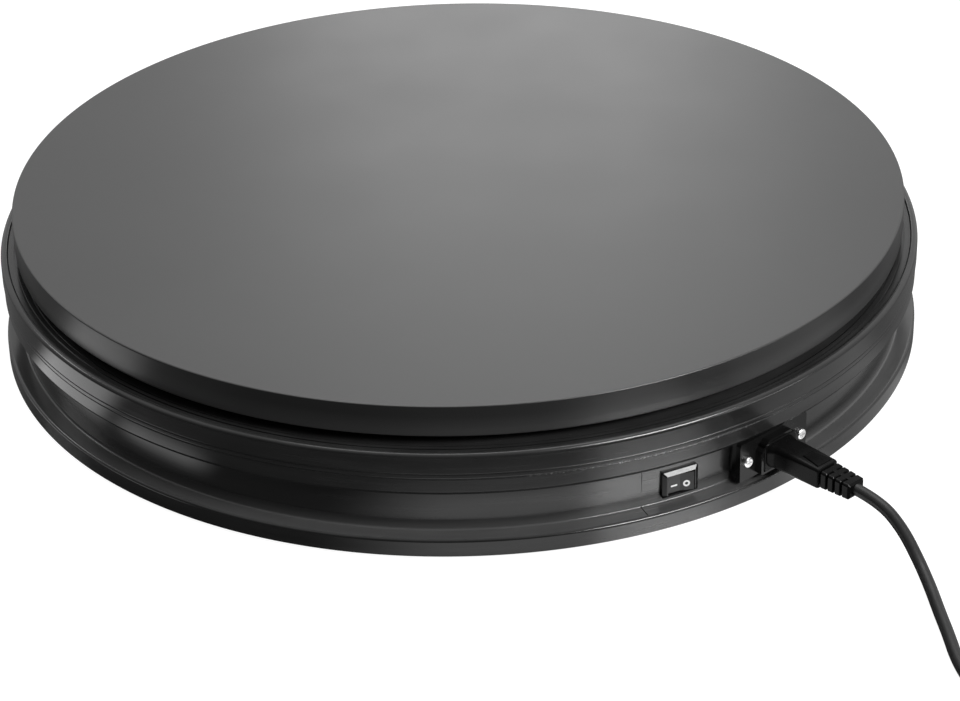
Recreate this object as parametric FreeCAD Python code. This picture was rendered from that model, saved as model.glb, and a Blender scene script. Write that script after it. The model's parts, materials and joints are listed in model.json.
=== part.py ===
"""A motorised turntable display stand: a 500 mm round platter on a low round base.

Millimetres, +Z up. The origin is on the platter's axis at the level of the feet's undersides.
The front of the stand faces -Y. Angles named *_BEARING are measured from -Y towards +X,
and angles named *_ANGLE from +X towards +Y, both in degrees.
"""

import FreeCAD
import Part
import math
import os

V = FreeCAD.Vector
UP = V(0, 0, 1)

# Platter
PLATE_RADIUS = 250.0
PLATE_TOP = 85.0
PLATE_THICKNESS = 16.6
PLATE_EDGE_ROUND = 0.8
PLATE_BOTTOM = PLATE_TOP - PLATE_THICKNESS
PLATE_TUCK = 0.2
PLATE_TUCK_HEIGHT = 4.0
PLATE_TUCK_ROUND = 40.0

# Feet and tray
FOOT_HEIGHT = 2.0
FOOT_RADIUS = 10.0
FOOT_CIRCLE = 235.0
FOOT_COUNT = 6
TRAY_BOTTOM = FOOT_HEIGHT
TRAY_FLOOR = 3.0
FLANGE_RADIUS = 259.0
FLANGE_HEIGHT = 10.0
LEDGE_Z = TRAY_BOTTOM + FLANGE_HEIGHT
WAIST_RADIUS = 249.0
WAIST_DRAFT = 1.0
WAIST_WALL = 2.6
WAIST_FOOT_ROUND = 1.2
BAND_BOTTOM = 37.8
BAND_RADIUS = 258.0
BAND_CHAMFER = (1.4, 2.2)
BAND_SHELF = 3.2
BAND_WALL = 3.0
JOINT_BEARING = 21.0
JOINT_WIDTH = 0.5
JOINT_DEPTH = 0.7

# Seam trim and upper cover
TRIM_BOTTOM = 47.6
TRIM_TOP = 50.6
TRIM_RADIUS = 258.2
RIM_RADIUS = 258.4
RIM_TOP = 62.0
RIM_INNER = 254.4
RIM_ROUND = 2.4
LAND_Z = 60.6
GROOVE_WIDTH = 1.0
OUTER_GROOVE_RADIUS = 250.0
OUTER_GROOVE_DEPTH = 0.8
INNER_GROOVE_RADIUS = 246.8
INNER_GROOVE_DEPTH = 1.2
DECK_TOP = 60.2
DECK_BOTTOM = 57.2
DECK_HOLE_RADIUS = 24.0

# Base board, cover posts and screws
BOARD_RADIUS = 242.0
BOARD_BOTTOM = TRAY_BOTTOM + TRAY_FLOOR
BOARD_TOP = BOARD_BOTTOM + 9.0
POST_CIRCLE = 225.0
POST_RADIUS = 8.0
POST_COUNT = 6
BASE_SCREW_CIRCLE = 205.0
BASE_SCREW_COUNT = 8

# Pan head screws: head radius, head height, shank radius and length
HUB_SCREW = (4.0, 1.9, 2.0, 14.0)
HOUSING_SCREW = (4.2, 2.4, 2.4, 13.5)
SMALL_SCREW = (3.4, 2.0, 1.8, 9.0)
INLET_SCREW = (3.0, 2.1, 1.5, 14.6)

# Countersunk screws: head radius, shank radius and length
TRACK_SCREW = (2.6, 1.5, 11.0)
COVER_SCREW = (3.8, 2.0, 20.0)
BASE_SCREW = (3.8, 2.0, 10.5)

# Central bearing, 20 x 47 x 14 mm deep groove
BEARING_BORE = 10.0
BEARING_OUTER = 23.5
BEARING_HEIGHT = 14.0
BEARING_BOTTOM = 28.0
BEARING_TOP = BEARING_BOTTOM + BEARING_HEIGHT
BALL_CIRCLE = 16.75
BALL_RADIUS = 3.97
BALL_COUNT = 8
BALL_CLEARANCE = 0.15
RACE_WALL = 4.2
CAGE_WALL = 1.15
CAGE_HALF_HEIGHT = 3.6
HOUSING_RADIUS = 31.0
HOUSING_FLANGE_RADIUS = 45.0
HOUSING_FLANGE = 6.0
HOUSING_BORE = 16.0
HOUSING_LIP = 1.5
HOUSING_SCREW_CIRCLE = 38.0
HOUSING_SCREW_COUNT = 4

# Spindle and gear train
HUB_RADIUS = 60.0
HUB_THICKNESS = 5.0
HUB_SCREW_CIRCLE = 48.0
HUB_SCREW_COUNT = 6
SPINDLE_SHOULDER = 15.0
SPINDLE_SEAT = 12.0
SPINDLE_BOTTOM = 24.5
CIRCLIP_THICKNESS = 1.5
CIRCLIP_RADIUS = 13.5
CIRCLIP_GROOVE = 9.3
CIRCLIP_MOUTH = 4.0
GEAR_MODULE = 2.0
GEAR_TEETH = 72
PINION_TEETH = 18
GEAR_BOTTOM = 46.5
GEAR_TOP = 54.5
PRESSURE_ANGLE = math.radians(20.0)
BACKLASH = 0.3
PINION_OVERHANG = 1.0
KEY_SIZE = 5.0
MESH_CLEARANCE = 0.1
GEAR_CENTRES = GEAR_MODULE * (GEAR_TEETH + PINION_TEETH) / 2 + MESH_CLEARANCE
GEAR_WINDOW_CIRCLE = 43.0
GEAR_WINDOW_RADIUS = 14.0
GEAR_WINDOW_COUNT = 6

# Synchronous gear motor
MOTOR_ANGLE = -90.0
MOTOR_RADIUS = 30.0
MOTOR_CAN_TOP = 28.0
MOTOR_TOP = 41.0
MOTOR_SHAFT_RADIUS = 4.0
MOTOR_SHAFT_SINK = 8.0
MOTOR_BOSS_RADIUS = 9.0
MOTOR_BOSS_HEIGHT = 1.5
MOTOR_SHAFT_FLAT = 0.5
BRACKET_SHEET = 2.0
BRACKET_HALF_LENGTH = 34.0
BRACKET_WIDTH = 30.0
BRACKET_FOOT = 16.0
MOTOR_SCREW_OFFSET = 22.0

# Support rollers
ROLLER_COUNT = 6
ROLLER_CIRCLE = 190.0
ROLLER_RADIUS = 15.0
ROLLER_WIDTH = 10.0
ROLLER_HUB_RADIUS = 12.0
ROLLER_BOSS_RADIUS = 5.0
ROLLER_BOSS_WIDTH = 13.4
ROLLER_GAP = 0.3
AXLE_RADIUS = 3.0
AXLE_CLEARANCE = 0.05
TRACK_THICKNESS = 1.2
TRACK_HALF_WIDTH = 14.0
TRACK_BOTTOM = PLATE_BOTTOM - TRACK_THICKNESS
AXLE_Z = TRACK_BOTTOM - ROLLER_GAP - ROLLER_RADIUS
CHEEK_GAP = 14.0
CHEEK_SHEET = 2.0
CHEEK_TOP_RADIUS = 4.5
CHEEK_FOOT_HALF = 13.0
ROLLER_PLATE_HALF = 22.0
SLOT_LENGTH = 32.0
SLOT_WIDTH = 14.0
TRACK_SCREW_COUNT = 6

# Rocker switch, 21 x 15 mm bezel
SWITCH_BEARING = 25.9
SWITCH_Z = 22.8
SWITCH_SEAT = 249.6
BEZEL_WIDTH = 21.0
BEZEL_HEIGHT = 15.0
BEZEL_THICKNESS = 2.8
BEZEL_BEVEL = 1.9
SWITCH_BODY_WIDTH = 19.0
SWITCH_BODY_HEIGHT = 13.0
SWITCH_BODY_DEPTH = 14.0
ROCKER_WIDTH = 15.0
ROCKER_HEIGHT = 10.4
ROCKER_PIVOT_DEPTH = 3.6
ROCKER_VALLEY = 0.9
ROCKER_TILT = 8.0
ROCKER_GAP = 0.4
ROCKER_SKIRT = 4.2
ROCKER_WELL = 9.0
BLADE_SIZE = (0.8, 4.8, 8.0)
BLADE_OFFSET = 4.0
BLADE_REACH = 7.0

# Mains inlet, 50 x 22.5 mm flange with screws 40 mm apart
INLET_BEARING = 38.8
INLET_NORMAL_BEARING = 41.5
INLET_FACE = 255.3
INLET_Z = 25.3
INLET_FLANGE_WIDTH = 50.0
INLET_FLANGE_HEIGHT = 22.5
INLET_FLANGE_THICKNESS = 3.0
INLET_COLLAR = 4.5
COLLAR_WALL = (1.6, 1.2)
INLET_BODY_WIDTH = 27.0
INLET_BODY_HEIGHT = 19.8
INLET_BODY_DEPTH = 21.0
INLET_CAVITY_WIDTH = 24.0
INLET_CAVITY_HEIGHT = 16.6
INLET_CAVITY_DEPTH = 17.0
INLET_SCREW_SPACING = 40.0
NUT_RADIUS = 3.2
NUT_HEIGHT = 2.4
PAD_INSET = 2.5
PIN_SPACING = 14.0
PIN_OFFSET = 2.0
PIN_SECTION = (2.0, 4.0)
PIN_LENGTH = 14.0
TAB_LENGTH = 8.0

# Wiring
WIRE_DIAMETER = 2.4

# Mains lead
CORD_DIAMETER = 6.5
NOSE_CLEARANCE = 0.4
NOSE_DEPTH = 16.0
SHOULDER_SIZE = (22.6, 15.2)
SHOULDER_START = 5.0
GRIP_START = 8.5
GRIP_START_SIZE = (17.4, 13.4)
GRIP_END_SIZE = (15.2, 11.6)
GRIP_END = 37.5
RELIEF_SEGMENTS = 4
RELIEF_PITCH = 4.6
RELIEF_GAP = 1.2
RELIEF_START_SIZE = (13.8, 10.2)
RELIEF_END_SIZE = (12.0, 8.8)
CONNECTOR_LENGTH = 57.2
COIL_CENTRE = (305.0, -375.5)
COIL_OUTER_TURN = 48.5
COIL_TURNS = 3
COIL_LAYERS = 2
COIL_INNER_TURN = COIL_OUTER_TURN - COIL_TURNS * CORD_DIAMETER

# Wall plug, with a round face and two pins
PLUG_RADIUS = 18.5
PLUG_LENGTH = 62.0
PLUG_SLEEVE_RADIUS = 4.6
PLUG_NECK_RADIUS = 7.2
PLUG_NECK = 22.0
PLUG_GRIP_RADIUS = 12.0
PLUG_GRIP_START = 26.0
PLUG_GRIP_END = 44.0
PLUG_FACE_THICKNESS = 12.0
PLUG_PIN_RADIUS = 2.4
PLUG_PIN_SPACING = 19.0
PLUG_PIN_LENGTH = 19.0
PLUG_PIN_ROOT = 10.0
PLUG_PIN_TIP_ROUND = 1.8

# The lead's route from the connector to the coil, and from the coil to the plug, chosen by hand.
CORD_ROUTE = [
    (208.6, -254.0, 24.9),
    (218.0, -268.2, 18.0),
    (224.6, -283.0, 8.4),
    (228.2, -301.0, 4.0),
    (229.6, -320.5, 3.3),
    (231.3, -341.0, 3.25),
    (232.2, -361.5, 3.25),
    (236.6, -382.0, 3.25),
    (247.5, -400.5, 3.25),
    (262.5, -415.0, 3.25),
    (281.0, -423.2, 3.25),
    (301.0, -424.0, 3.25),
]
TAIL_ROUTE = [
    (353.4, -380.0, 9.75),
    (353.8, -367.0, 10.2),
    (353.6, -354.0, 13.2),
    (353.2, -341.5, 17.0),
    (353.3, -331.0, 18.5),
]

os.makedirs("parts", exist_ok=True)


def export(name, *solids):
    """Writes one named sub-part, which may be a group of separate solids."""
    shape = solids[0] if len(solids) == 1 else Part.makeCompound(list(solids))
    for solid in shape.Solids:
        assert solid.isValid(), name
    assert shape.Solids, name
    shape.exportStep(os.path.join("parts", name + ".step"))
    print(f"{name}: {len(shape.Solids)} solid(s), {shape.Volume / 1000:.2f} cm3")


def cut_all(shape, tools):
    """The shape with every tool removed."""
    return shape.cut(Part.makeCompound(list(tools)))


def at_bearing(radius, bearing, z):
    """A point at a radius and at a bearing measured from -Y towards +X."""
    turn = math.radians(bearing)
    return V(radius * math.sin(turn), -radius * math.cos(turn), z)


def at_angle(radius, angle, z):
    """A point at a radius and at an angle measured from +X towards +Y."""
    turn = math.radians(angle)
    return V(radius * math.cos(turn), radius * math.sin(turn), z)


def spaced(count, first=0.0):
    """Angles of pieces evenly spaced round the axis."""
    return [first + 360.0 * i / count for i in range(count)]


def rounded_edges(corners, closed):
    """Straight edges joined by tangent arcs. A corner is a point and the radius at it."""
    count = len(corners)
    points = [V(*corner[0]) for corner in corners]
    starts = []
    ends = []
    arcs = []
    for i in range(count):
        radius = corners[i][1]
        here = points[i]
        if radius <= 0 or (not closed and i in (0, count - 1)):
            starts.append(here)
            ends.append(here)
            arcs.append(None)
            continue
        back = (points[i - 1] - here).normalize()
        ahead = (points[(i + 1) % count] - here).normalize()
        half = back.getAngle(ahead) / 2
        reach = radius / math.tan(half)
        bisector = (back + ahead).normalize()
        centre = here + bisector * (radius / math.sin(half))
        starts.append(here + back * reach)
        ends.append(here + ahead * reach)
        arcs.append(centre - bisector * radius)
    edges = []
    for i in range(count):
        if arcs[i] is not None:
            edges.append(Part.Arc(starts[i], arcs[i], ends[i]).toShape())
        following = (i + 1) % count
        if (closed or following) and (starts[following] - ends[i]).Length > 1e-6:
            edges.append(Part.LineSegment(ends[i], starts[following]).toShape())
    return edges


def revolved(outline):
    """A solid of revolution about Z from (radius, z) or (radius, z, corner round) points."""
    corners = [((p[0], 0, p[1]), p[2] if len(p) > 2 else 0) for p in outline]
    face = Part.Face(Part.Wire(rounded_edges(corners, True)))
    return face.revolve(V(0, 0, 0), UP, 360)


def ring(inner, outer, bottom, top):
    """A plain ring about Z."""
    return revolved([(inner, bottom), (outer, bottom), (outer, top), (inner, top)])


def cylinder(radius, bottom, top, at=V(0, 0, 0)):
    """A vertical cylinder."""
    return Part.makeCylinder(radius, top - bottom, V(at.x, at.y, bottom))


def rounded_prism(width, height, corner, start, end):
    """A rectangle with rounded corners centred on the local Z axis, from start to end along it."""
    x = width / 2
    y = height / 2
    corners = [((-x, -y, start), corner), ((x, -y, start), corner)]
    corners += [((x, y, start), corner), ((-x, y, start), corner)]
    face = Part.Face(Part.Wire(rounded_edges(corners, True)))
    return face.extrude(V(0, 0, end - start))


def rounded_section(width, height, corner, z):
    """The closed wire of a rounded rectangle at a local height."""
    x = width / 2
    y = height / 2
    corners = [((-x, -y, z), corner), ((x, -y, z), corner)]
    corners += [((x, y, z), corner), ((-x, y, z), corner)]
    return Part.Wire(rounded_edges(corners, True))


def facing_out(shape, origin, normal_bearing):
    """Places a shape built with X to the right, Y up and Z outwards on the wall at a bearing."""
    turn = math.radians(normal_bearing)
    right = V(math.cos(turn), math.sin(turn), 0)
    out = V(math.sin(turn), -math.cos(turn), 0)
    matrix = FreeCAD.Matrix(
        right.x, UP.x, out.x, origin.x,
        right.y, UP.y, out.y, origin.y,
        right.z, UP.z, out.z, origin.z,
        0, 0, 0, 1,
    )
    placed = shape.copy()
    placed.Placement = FreeCAD.Placement(matrix) * shape.Placement
    return placed


def turned(shape, angle):
    """A copy of a shape turned about Z from the +X direction."""
    copy = shape.copy()
    copy.rotate(V(0, 0, 0), UP, angle)
    return copy


def pan_screw(seat, size, direction=V(0, 0, -1)):
    """A screw with a domed, cross-recessed head on its seat and its shank along a direction."""
    head_radius, head_height, shank_radius, length = size
    head = Part.makeCylinder(head_radius, head_height, seat, direction * -1)
    rim = [e for e in head.Edges if (e.CenterOfMass - seat).Length > head_height / 2 and e.Closed]
    head = head.makeFillet(head_height * 0.45, rim)
    shank = Part.makeCylinder(shank_radius, length, seat, direction)
    slot_depth = head_height * 0.4
    slot = Part.makeBox(head_radius * 1.2, head_radius * 0.24, slot_depth * 2)
    slot.translate(V(-head_radius * 0.6, -head_radius * 0.12, head_height - slot_depth))
    cross = slot.fuse(turned(slot, 90))
    cross.Placement = FreeCAD.Placement(seat, FreeCAD.Rotation(UP, direction * -1))
    return head.fuse(shank).cut(cross)


def flat_screw(seat, size, direction=V(0, 0, -1)):
    """A countersunk screw whose flat head is flush with its seat."""
    head_radius, shank_radius, length = size
    sink = head_radius - shank_radius
    cone = Part.makeCone(head_radius, shank_radius, sink, seat, direction)
    return cone.fuse(Part.makeCylinder(shank_radius, length, seat, direction))


def route_edges(points):
    """Straight runs joined by the largest tangent arcs that share each run, with their radii."""
    corners = [(points[0], 0)]
    radii = []
    for before, here, after in zip(points, points[1:], points[2:]):
        arriving = V(*here) - V(*before)
        leaving = V(*after) - V(*here)
        shorter = min(arriving.Length, leaving.Length)
        radius = 0.45 * shorter / math.tan(arriving.getAngle(leaving) / 2)
        corners.append((here, radius))
        radii.append(radius)
    corners.append((points[-1], 0))
    return rounded_edges(corners, False), radii


def tube(name, points, diameter):
    """A round tube along a route. Prints its bend radii and compares its volume with its length."""
    edges, radii = route_edges(points)
    path = Part.Wire(edges)
    start = V(*points[0])
    along = (V(*points[1]) - start).normalize()
    section = Part.Wire([Part.Circle(start, along, diameter / 2).toShape()])
    solid = path.makePipeShell([section], True, False)
    expected = math.pi * diameter ** 2 / 4 * path.Length
    shown = ", ".join(f"{radius:.0f}" for radius in radii)
    print(f"{name}: length {path.Length:.1f} mm, radii {shown}, volume {solid.Volume / expected:.4f}")
    return solid


# Platter and spindle

def plate():
    """The round board that carries the display, drawn in a little towards its lower edge."""
    return revolved([
        (0, PLATE_BOTTOM),
        (PLATE_RADIUS - PLATE_TUCK, PLATE_BOTTOM, 0.4),
        (PLATE_RADIUS, PLATE_BOTTOM + PLATE_TUCK_HEIGHT, PLATE_TUCK_ROUND),
        (PLATE_RADIUS, PLATE_TOP, PLATE_EDGE_ROUND),
        (0, PLATE_TOP),
    ])


def spindle():
    """The flanged spindle that carries the platter in the bearing."""
    hub_bottom = PLATE_BOTTOM - HUB_THICKNESS
    groove_top = BEARING_BOTTOM
    groove_bottom = groove_top - CIRCLIP_THICKNESS
    body = revolved([
        (0, SPINDLE_BOTTOM),
        (BEARING_BORE, SPINDLE_BOTTOM, 0.6),
        (BEARING_BORE, groove_bottom),
        (CIRCLIP_GROOVE, groove_bottom),
        (CIRCLIP_GROOVE, groove_top),
        (BEARING_BORE, groove_top),
        (BEARING_BORE, BEARING_TOP),
        (SPINDLE_SEAT, BEARING_TOP),
        (SPINDLE_SEAT, GEAR_TOP),
        (SPINDLE_SHOULDER, GEAR_TOP),
        (SPINDLE_SHOULDER, hub_bottom, 1.5),
        (HUB_RADIUS, hub_bottom, 0.8),
        (HUB_RADIUS, PLATE_BOTTOM),
        (0, PLATE_BOTTOM),
    ])
    return body


def circlip():
    """The open retaining ring under the bearing."""
    bottom = BEARING_BOTTOM - CIRCLIP_THICKNESS
    closed = ring(CIRCLIP_GROOVE, CIRCLIP_RADIUS, bottom, BEARING_BOTTOM)
    mouth = Part.makeBox(CIRCLIP_RADIUS, CIRCLIP_MOUTH, CIRCLIP_THICKNESS + 2)
    mouth.translate(V(0, -CIRCLIP_MOUTH / 2, bottom - 1))
    return closed.cut(mouth)


def key():
    """The parallel key between the spindle and the drive gear."""
    block = Part.makeBox(KEY_SIZE, KEY_SIZE, GEAR_TOP - GEAR_BOTTOM)
    block.translate(V(SPINDLE_SEAT - KEY_SIZE / 2, -KEY_SIZE / 2, GEAR_BOTTOM))
    return block


def gear_outline(teeth, start_turn):
    """Corner points of a spur gear: root, pitch and tip of each flank, on true involutes."""
    pitch = GEAR_MODULE * teeth / 2
    base = pitch * math.cos(PRESSURE_ANGLE)
    tip = pitch + GEAR_MODULE * 0.95
    root = pitch - GEAR_MODULE * 1.25
    pitch_roll = math.tan(PRESSURE_ANGLE) - PRESSURE_ANGLE
    half_tooth = math.pi / (2 * teeth) - BACKLASH / 2 / (2 * pitch)
    points = []
    for i in range(teeth):
        middle = start_turn + 2 * math.pi * i / teeth
        flank = []
        for radius in (root, max(root, base), pitch, (pitch + tip) / 2, tip):
            roll = math.acos(min(1.0, base / radius))
            spread = half_tooth + pitch_roll - (math.tan(roll) - roll)
            flank.append((radius, spread))
        if flank[0] == flank[1]:
            flank = flank[1:]
        for radius, spread in flank:
            points.append((radius, middle - spread))
        for radius, spread in reversed(flank):
            points.append((radius, middle + spread))
    return [V(r * math.cos(a), r * math.sin(a), 0) for r, a in points]


def spur_gear(teeth, start_turn, bottom, top):
    """A solid spur gear about Z."""
    points = gear_outline(teeth, start_turn)
    face = Part.Face(Part.makePolygon(points + [points[0]]))
    gear = face.extrude(V(0, 0, top - bottom))
    gear.translate(V(0, 0, bottom))
    return gear


def drive_gear():
    """The large gear on the spindle, with lightening windows in its web."""
    towards_pinion = math.radians(MOTOR_ANGLE)
    gear = spur_gear(GEAR_TEETH, towards_pinion, GEAR_BOTTOM, GEAR_TOP)
    tools = [cylinder(SPINDLE_SEAT, GEAR_BOTTOM - 1, GEAR_TOP + 1), key()]
    for angle in spaced(GEAR_WINDOW_COUNT, 30.0):
        middle = at_angle(GEAR_WINDOW_CIRCLE, angle, 0)
        tools.append(cylinder(GEAR_WINDOW_RADIUS, GEAR_BOTTOM - 1, GEAR_TOP + 1, middle))
    return cut_all(gear, tools)


def make_platter():
    """Everything that turns with the platter."""
    hub_bottom = PLATE_BOTTOM - HUB_THICKNESS
    hub_screws = []
    for angle in spaced(HUB_SCREW_COUNT, 30.0):
        seat = at_angle(HUB_SCREW_CIRCLE, angle, hub_bottom)
        hub_screws.append(pan_screw(seat, HUB_SCREW, UP))
    track_screws = []
    for angle in spaced(TRACK_SCREW_COUNT, 30.0):
        seat = at_angle(ROLLER_CIRCLE, angle, TRACK_BOTTOM)
        track_screws.append(flat_screw(seat, TRACK_SCREW, UP))
    track = ring(ROLLER_CIRCLE - TRACK_HALF_WIDTH, ROLLER_CIRCLE + TRACK_HALF_WIDTH,
                 TRACK_BOTTOM, PLATE_BOTTOM)
    export("top_plate", cut_all(plate(), hub_screws + track_screws))
    export("spindle_flange", cut_all(spindle(), hub_screws + [key()]))
    export("hub_screws", *hub_screws)
    export("roller_track", cut_all(track, track_screws))
    export("track_screws", *track_screws)
    export("drive_gear", drive_gear())
    export("gear_key", key())
    export("circlip", circlip())


# Central bearing

def race_groove(clearance):
    """The torus in which the balls run."""
    middle = (BEARING_BOTTOM + BEARING_TOP) / 2
    return Part.makeTorus(BALL_CIRCLE, BALL_RADIUS + clearance, V(0, 0, middle), UP)


def make_bearing():
    """Two races, the balls and their cage, and the flanged housing that holds them."""
    middle = (BEARING_BOTTOM + BEARING_TOP) / 2
    groove = race_groove(BALL_CLEARANCE)
    outer = ring(BEARING_OUTER - RACE_WALL, BEARING_OUTER, BEARING_BOTTOM, BEARING_TOP)
    inner = ring(BEARING_BORE, BEARING_BORE + RACE_WALL, BEARING_BOTTOM, BEARING_TOP)
    export("bearing_outer_race", outer.cut(groove))
    export("bearing_inner_race", inner.cut(groove))
    centres = [at_angle(BALL_CIRCLE, angle, middle) for angle in spaced(BALL_COUNT)]
    balls = [Part.makeSphere(BALL_RADIUS, centre) for centre in centres]
    pockets = [Part.makeSphere(BALL_RADIUS + BALL_CLEARANCE, centre) for centre in centres]
    cage = ring(BALL_CIRCLE - CAGE_WALL, BALL_CIRCLE + CAGE_WALL,
                middle - CAGE_HALF_HEIGHT, middle + BALL_RADIUS + 1.2)
    export("bearing_balls", *balls)
    export("bearing_cage", cut_all(cage, pockets))
    housing = revolved([
        (HOUSING_BORE, BOARD_TOP),
        (HOUSING_FLANGE_RADIUS, BOARD_TOP, 0.8),
        (HOUSING_FLANGE_RADIUS, BOARD_TOP + HOUSING_FLANGE, 0.8),
        (HOUSING_RADIUS, BOARD_TOP + HOUSING_FLANGE, 3.0),
        (HOUSING_RADIUS, BEARING_TOP + HOUSING_LIP, 1.0),
        (BEARING_OUTER, BEARING_TOP + HOUSING_LIP),
        (BEARING_OUTER, BEARING_BOTTOM),
        (HOUSING_BORE, BEARING_BOTTOM),
    ])
    screws = []
    for angle in spaced(HOUSING_SCREW_COUNT, 45.0):
        seat = at_angle(HOUSING_SCREW_CIRCLE, angle, BOARD_TOP + HOUSING_FLANGE)
        screws.append(pan_screw(seat, HOUSING_SCREW))
    export("bearing_housing", cut_all(housing, screws))
    export("bearing_housing_screws", *screws)
    return screws


# Gear motor

def motor_bracket(screws, centre):
    """The sheet bridge that clamps the motor to the board."""
    half = BRACKET_HALF_LENGTH
    outline = [
        ((-half - BRACKET_FOOT, 0, BOARD_TOP), 0),
        ((-half + BRACKET_SHEET, 0, BOARD_TOP), 1.0),
        ((-half + BRACKET_SHEET, 0, MOTOR_TOP), 1.0),
        ((half - BRACKET_SHEET, 0, MOTOR_TOP), 1.0),
        ((half - BRACKET_SHEET, 0, BOARD_TOP), 1.0),
        ((half + BRACKET_FOOT, 0, BOARD_TOP), 0),
        ((half + BRACKET_FOOT, 0, BOARD_TOP + BRACKET_SHEET), 0),
        ((half, 0, BOARD_TOP + BRACKET_SHEET), 1.0),
        ((half, 0, MOTOR_TOP + BRACKET_SHEET), 3.0),
        ((-half, 0, MOTOR_TOP + BRACKET_SHEET), 3.0),
        ((-half, 0, BOARD_TOP + BRACKET_SHEET), 1.0),
        ((-half - BRACKET_FOOT, 0, BOARD_TOP + BRACKET_SHEET), 0),
    ]
    face = Part.Face(Part.Wire(rounded_edges(outline, True)))
    bridge = face.extrude(V(0, BRACKET_WIDTH, 0))
    bridge.translate(V(centre.x, centre.y - BRACKET_WIDTH / 2, 0))
    boss_hole = cylinder(MOTOR_BOSS_RADIUS + 0.5, MOTOR_TOP - 1, MOTOR_TOP + 5, centre)
    return cut_all(bridge, screws + [boss_hole])


def make_motor():
    """The mains synchronous motor, its gearbox, its bracket, and the pinion on its shaft."""
    centre = at_angle(GEAR_CENTRES, MOTOR_ANGLE, 0)
    can = revolved([
        (0, BOARD_TOP),
        (MOTOR_RADIUS - 0.5, BOARD_TOP, 2.0),
        (MOTOR_RADIUS - 0.5, MOTOR_CAN_TOP),
        (0, MOTOR_CAN_TOP),
    ])
    boss_top = MOTOR_TOP + MOTOR_BOSS_HEIGHT
    gearbox = revolved([
        (0, MOTOR_CAN_TOP),
        (MOTOR_RADIUS, MOTOR_CAN_TOP, 0.5),
        (MOTOR_RADIUS, MOTOR_TOP, 1.0),
        (MOTOR_BOSS_RADIUS, MOTOR_TOP),
        (MOTOR_BOSS_RADIUS, boss_top, 0.5),
        (0, boss_top),
    ])
    for shape in (can, gearbox):
        shape.translate(centre)
    shaft_bottom = MOTOR_TOP - MOTOR_SHAFT_SINK
    shaft_top = GEAR_TOP + PINION_OVERHANG + 0.5
    shaft = cylinder(MOTOR_SHAFT_RADIUS, shaft_bottom, shaft_top, centre)
    flat = Part.makeBox(2 * MOTOR_SHAFT_RADIUS, 2.0, GEAR_TOP)
    flat.translate(centre + V(-MOTOR_SHAFT_RADIUS, MOTOR_SHAFT_RADIUS - MOTOR_SHAFT_FLAT, boss_top))
    shaft = shaft.cut(flat)
    socket = cylinder(MOTOR_SHAFT_RADIUS + AXLE_CLEARANCE, shaft_bottom - 0.2, boss_top + 1, centre)
    mesh_turn = math.radians(MOTOR_ANGLE) + math.pi + math.pi / PINION_TEETH
    pinion = spur_gear(PINION_TEETH, mesh_turn, GEAR_BOTTOM - PINION_OVERHANG, GEAR_TOP + PINION_OVERHANG)
    pinion.translate(centre)
    screws = []
    for side in (-1, 1):
        seat = centre + V(side * MOTOR_SCREW_OFFSET, 0, MOTOR_TOP + BRACKET_SHEET)
        screws.append(pan_screw(seat, SMALL_SCREW))
        for end in (-1, 1):
            across = side * (BRACKET_HALF_LENGTH + BRACKET_FOOT / 2)
            foot = centre + V(across, end * BRACKET_WIDTH / 4, BOARD_TOP + BRACKET_SHEET)
            screws.append(pan_screw(foot, SMALL_SCREW))
    export("motor_can", can)
    export("motor_gearbox", cut_all(gearbox, screws + [socket]))
    export("motor_bracket", motor_bracket(screws, centre))
    export("motor_screws", *screws)
    export("motor_shaft", shaft)
    export("pinion", pinion.cut(shaft))
    return screws


# Support rollers

def roller_bracket():
    """A folded steel bracket for the roller on +X: a foot plate and two tapering cheeks."""
    half_gap = CHEEK_GAP / 2
    outer = half_gap + CHEEK_SHEET
    plate_top = BOARD_TOP + CHEEK_SHEET
    foot = Part.makeBox(2 * outer, 2 * ROLLER_PLATE_HALF, CHEEK_SHEET)
    foot.translate(V(ROLLER_CIRCLE - outer, -ROLLER_PLATE_HALF, BOARD_TOP))
    outline = [
        ((0, -CHEEK_FOOT_HALF, plate_top), 0),
        ((0, CHEEK_FOOT_HALF, plate_top), 0),
        ((0, CHEEK_TOP_RADIUS + 0.5, AXLE_Z + CHEEK_TOP_RADIUS), CHEEK_TOP_RADIUS * 0.8),
        ((0, -CHEEK_TOP_RADIUS - 0.5, AXLE_Z + CHEEK_TOP_RADIUS), CHEEK_TOP_RADIUS * 0.8),
    ]
    cheek = Part.Face(Part.Wire(rounded_edges(outline, True))).extrude(V(CHEEK_SHEET, 0, 0))
    bracket = foot
    for offset in (-outer, half_gap):
        side = cheek.copy()
        side.translate(V(ROLLER_CIRCLE + offset, 0, 0))
        bracket = bracket.fuse(side)
    return bracket.removeSplitter()


def roller_axle():
    """The riveted pin of the roller on +X."""
    half = CHEEK_GAP / 2 + CHEEK_SHEET
    pin = Part.makeCylinder(AXLE_RADIUS, 2 * half, V(ROLLER_CIRCLE - half, 0, AXLE_Z), V(1, 0, 0))
    near = Part.makeCylinder(AXLE_RADIUS + 1.2, 1.2, V(ROLLER_CIRCLE - half - 1.2, 0, AXLE_Z), V(1, 0, 0))
    far = Part.makeCylinder(AXLE_RADIUS + 1.2, 1.2, V(ROLLER_CIRCLE + half, 0, AXLE_Z), V(1, 0, 0))
    return pin.fuse(near).fuse(far)


def along_roller(radius, width):
    """A cylinder on the roller's axis, centred on the roller."""
    return Part.makeCylinder(radius, width, V(ROLLER_CIRCLE - width / 2, 0, AXLE_Z), V(1, 0, 0))


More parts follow.
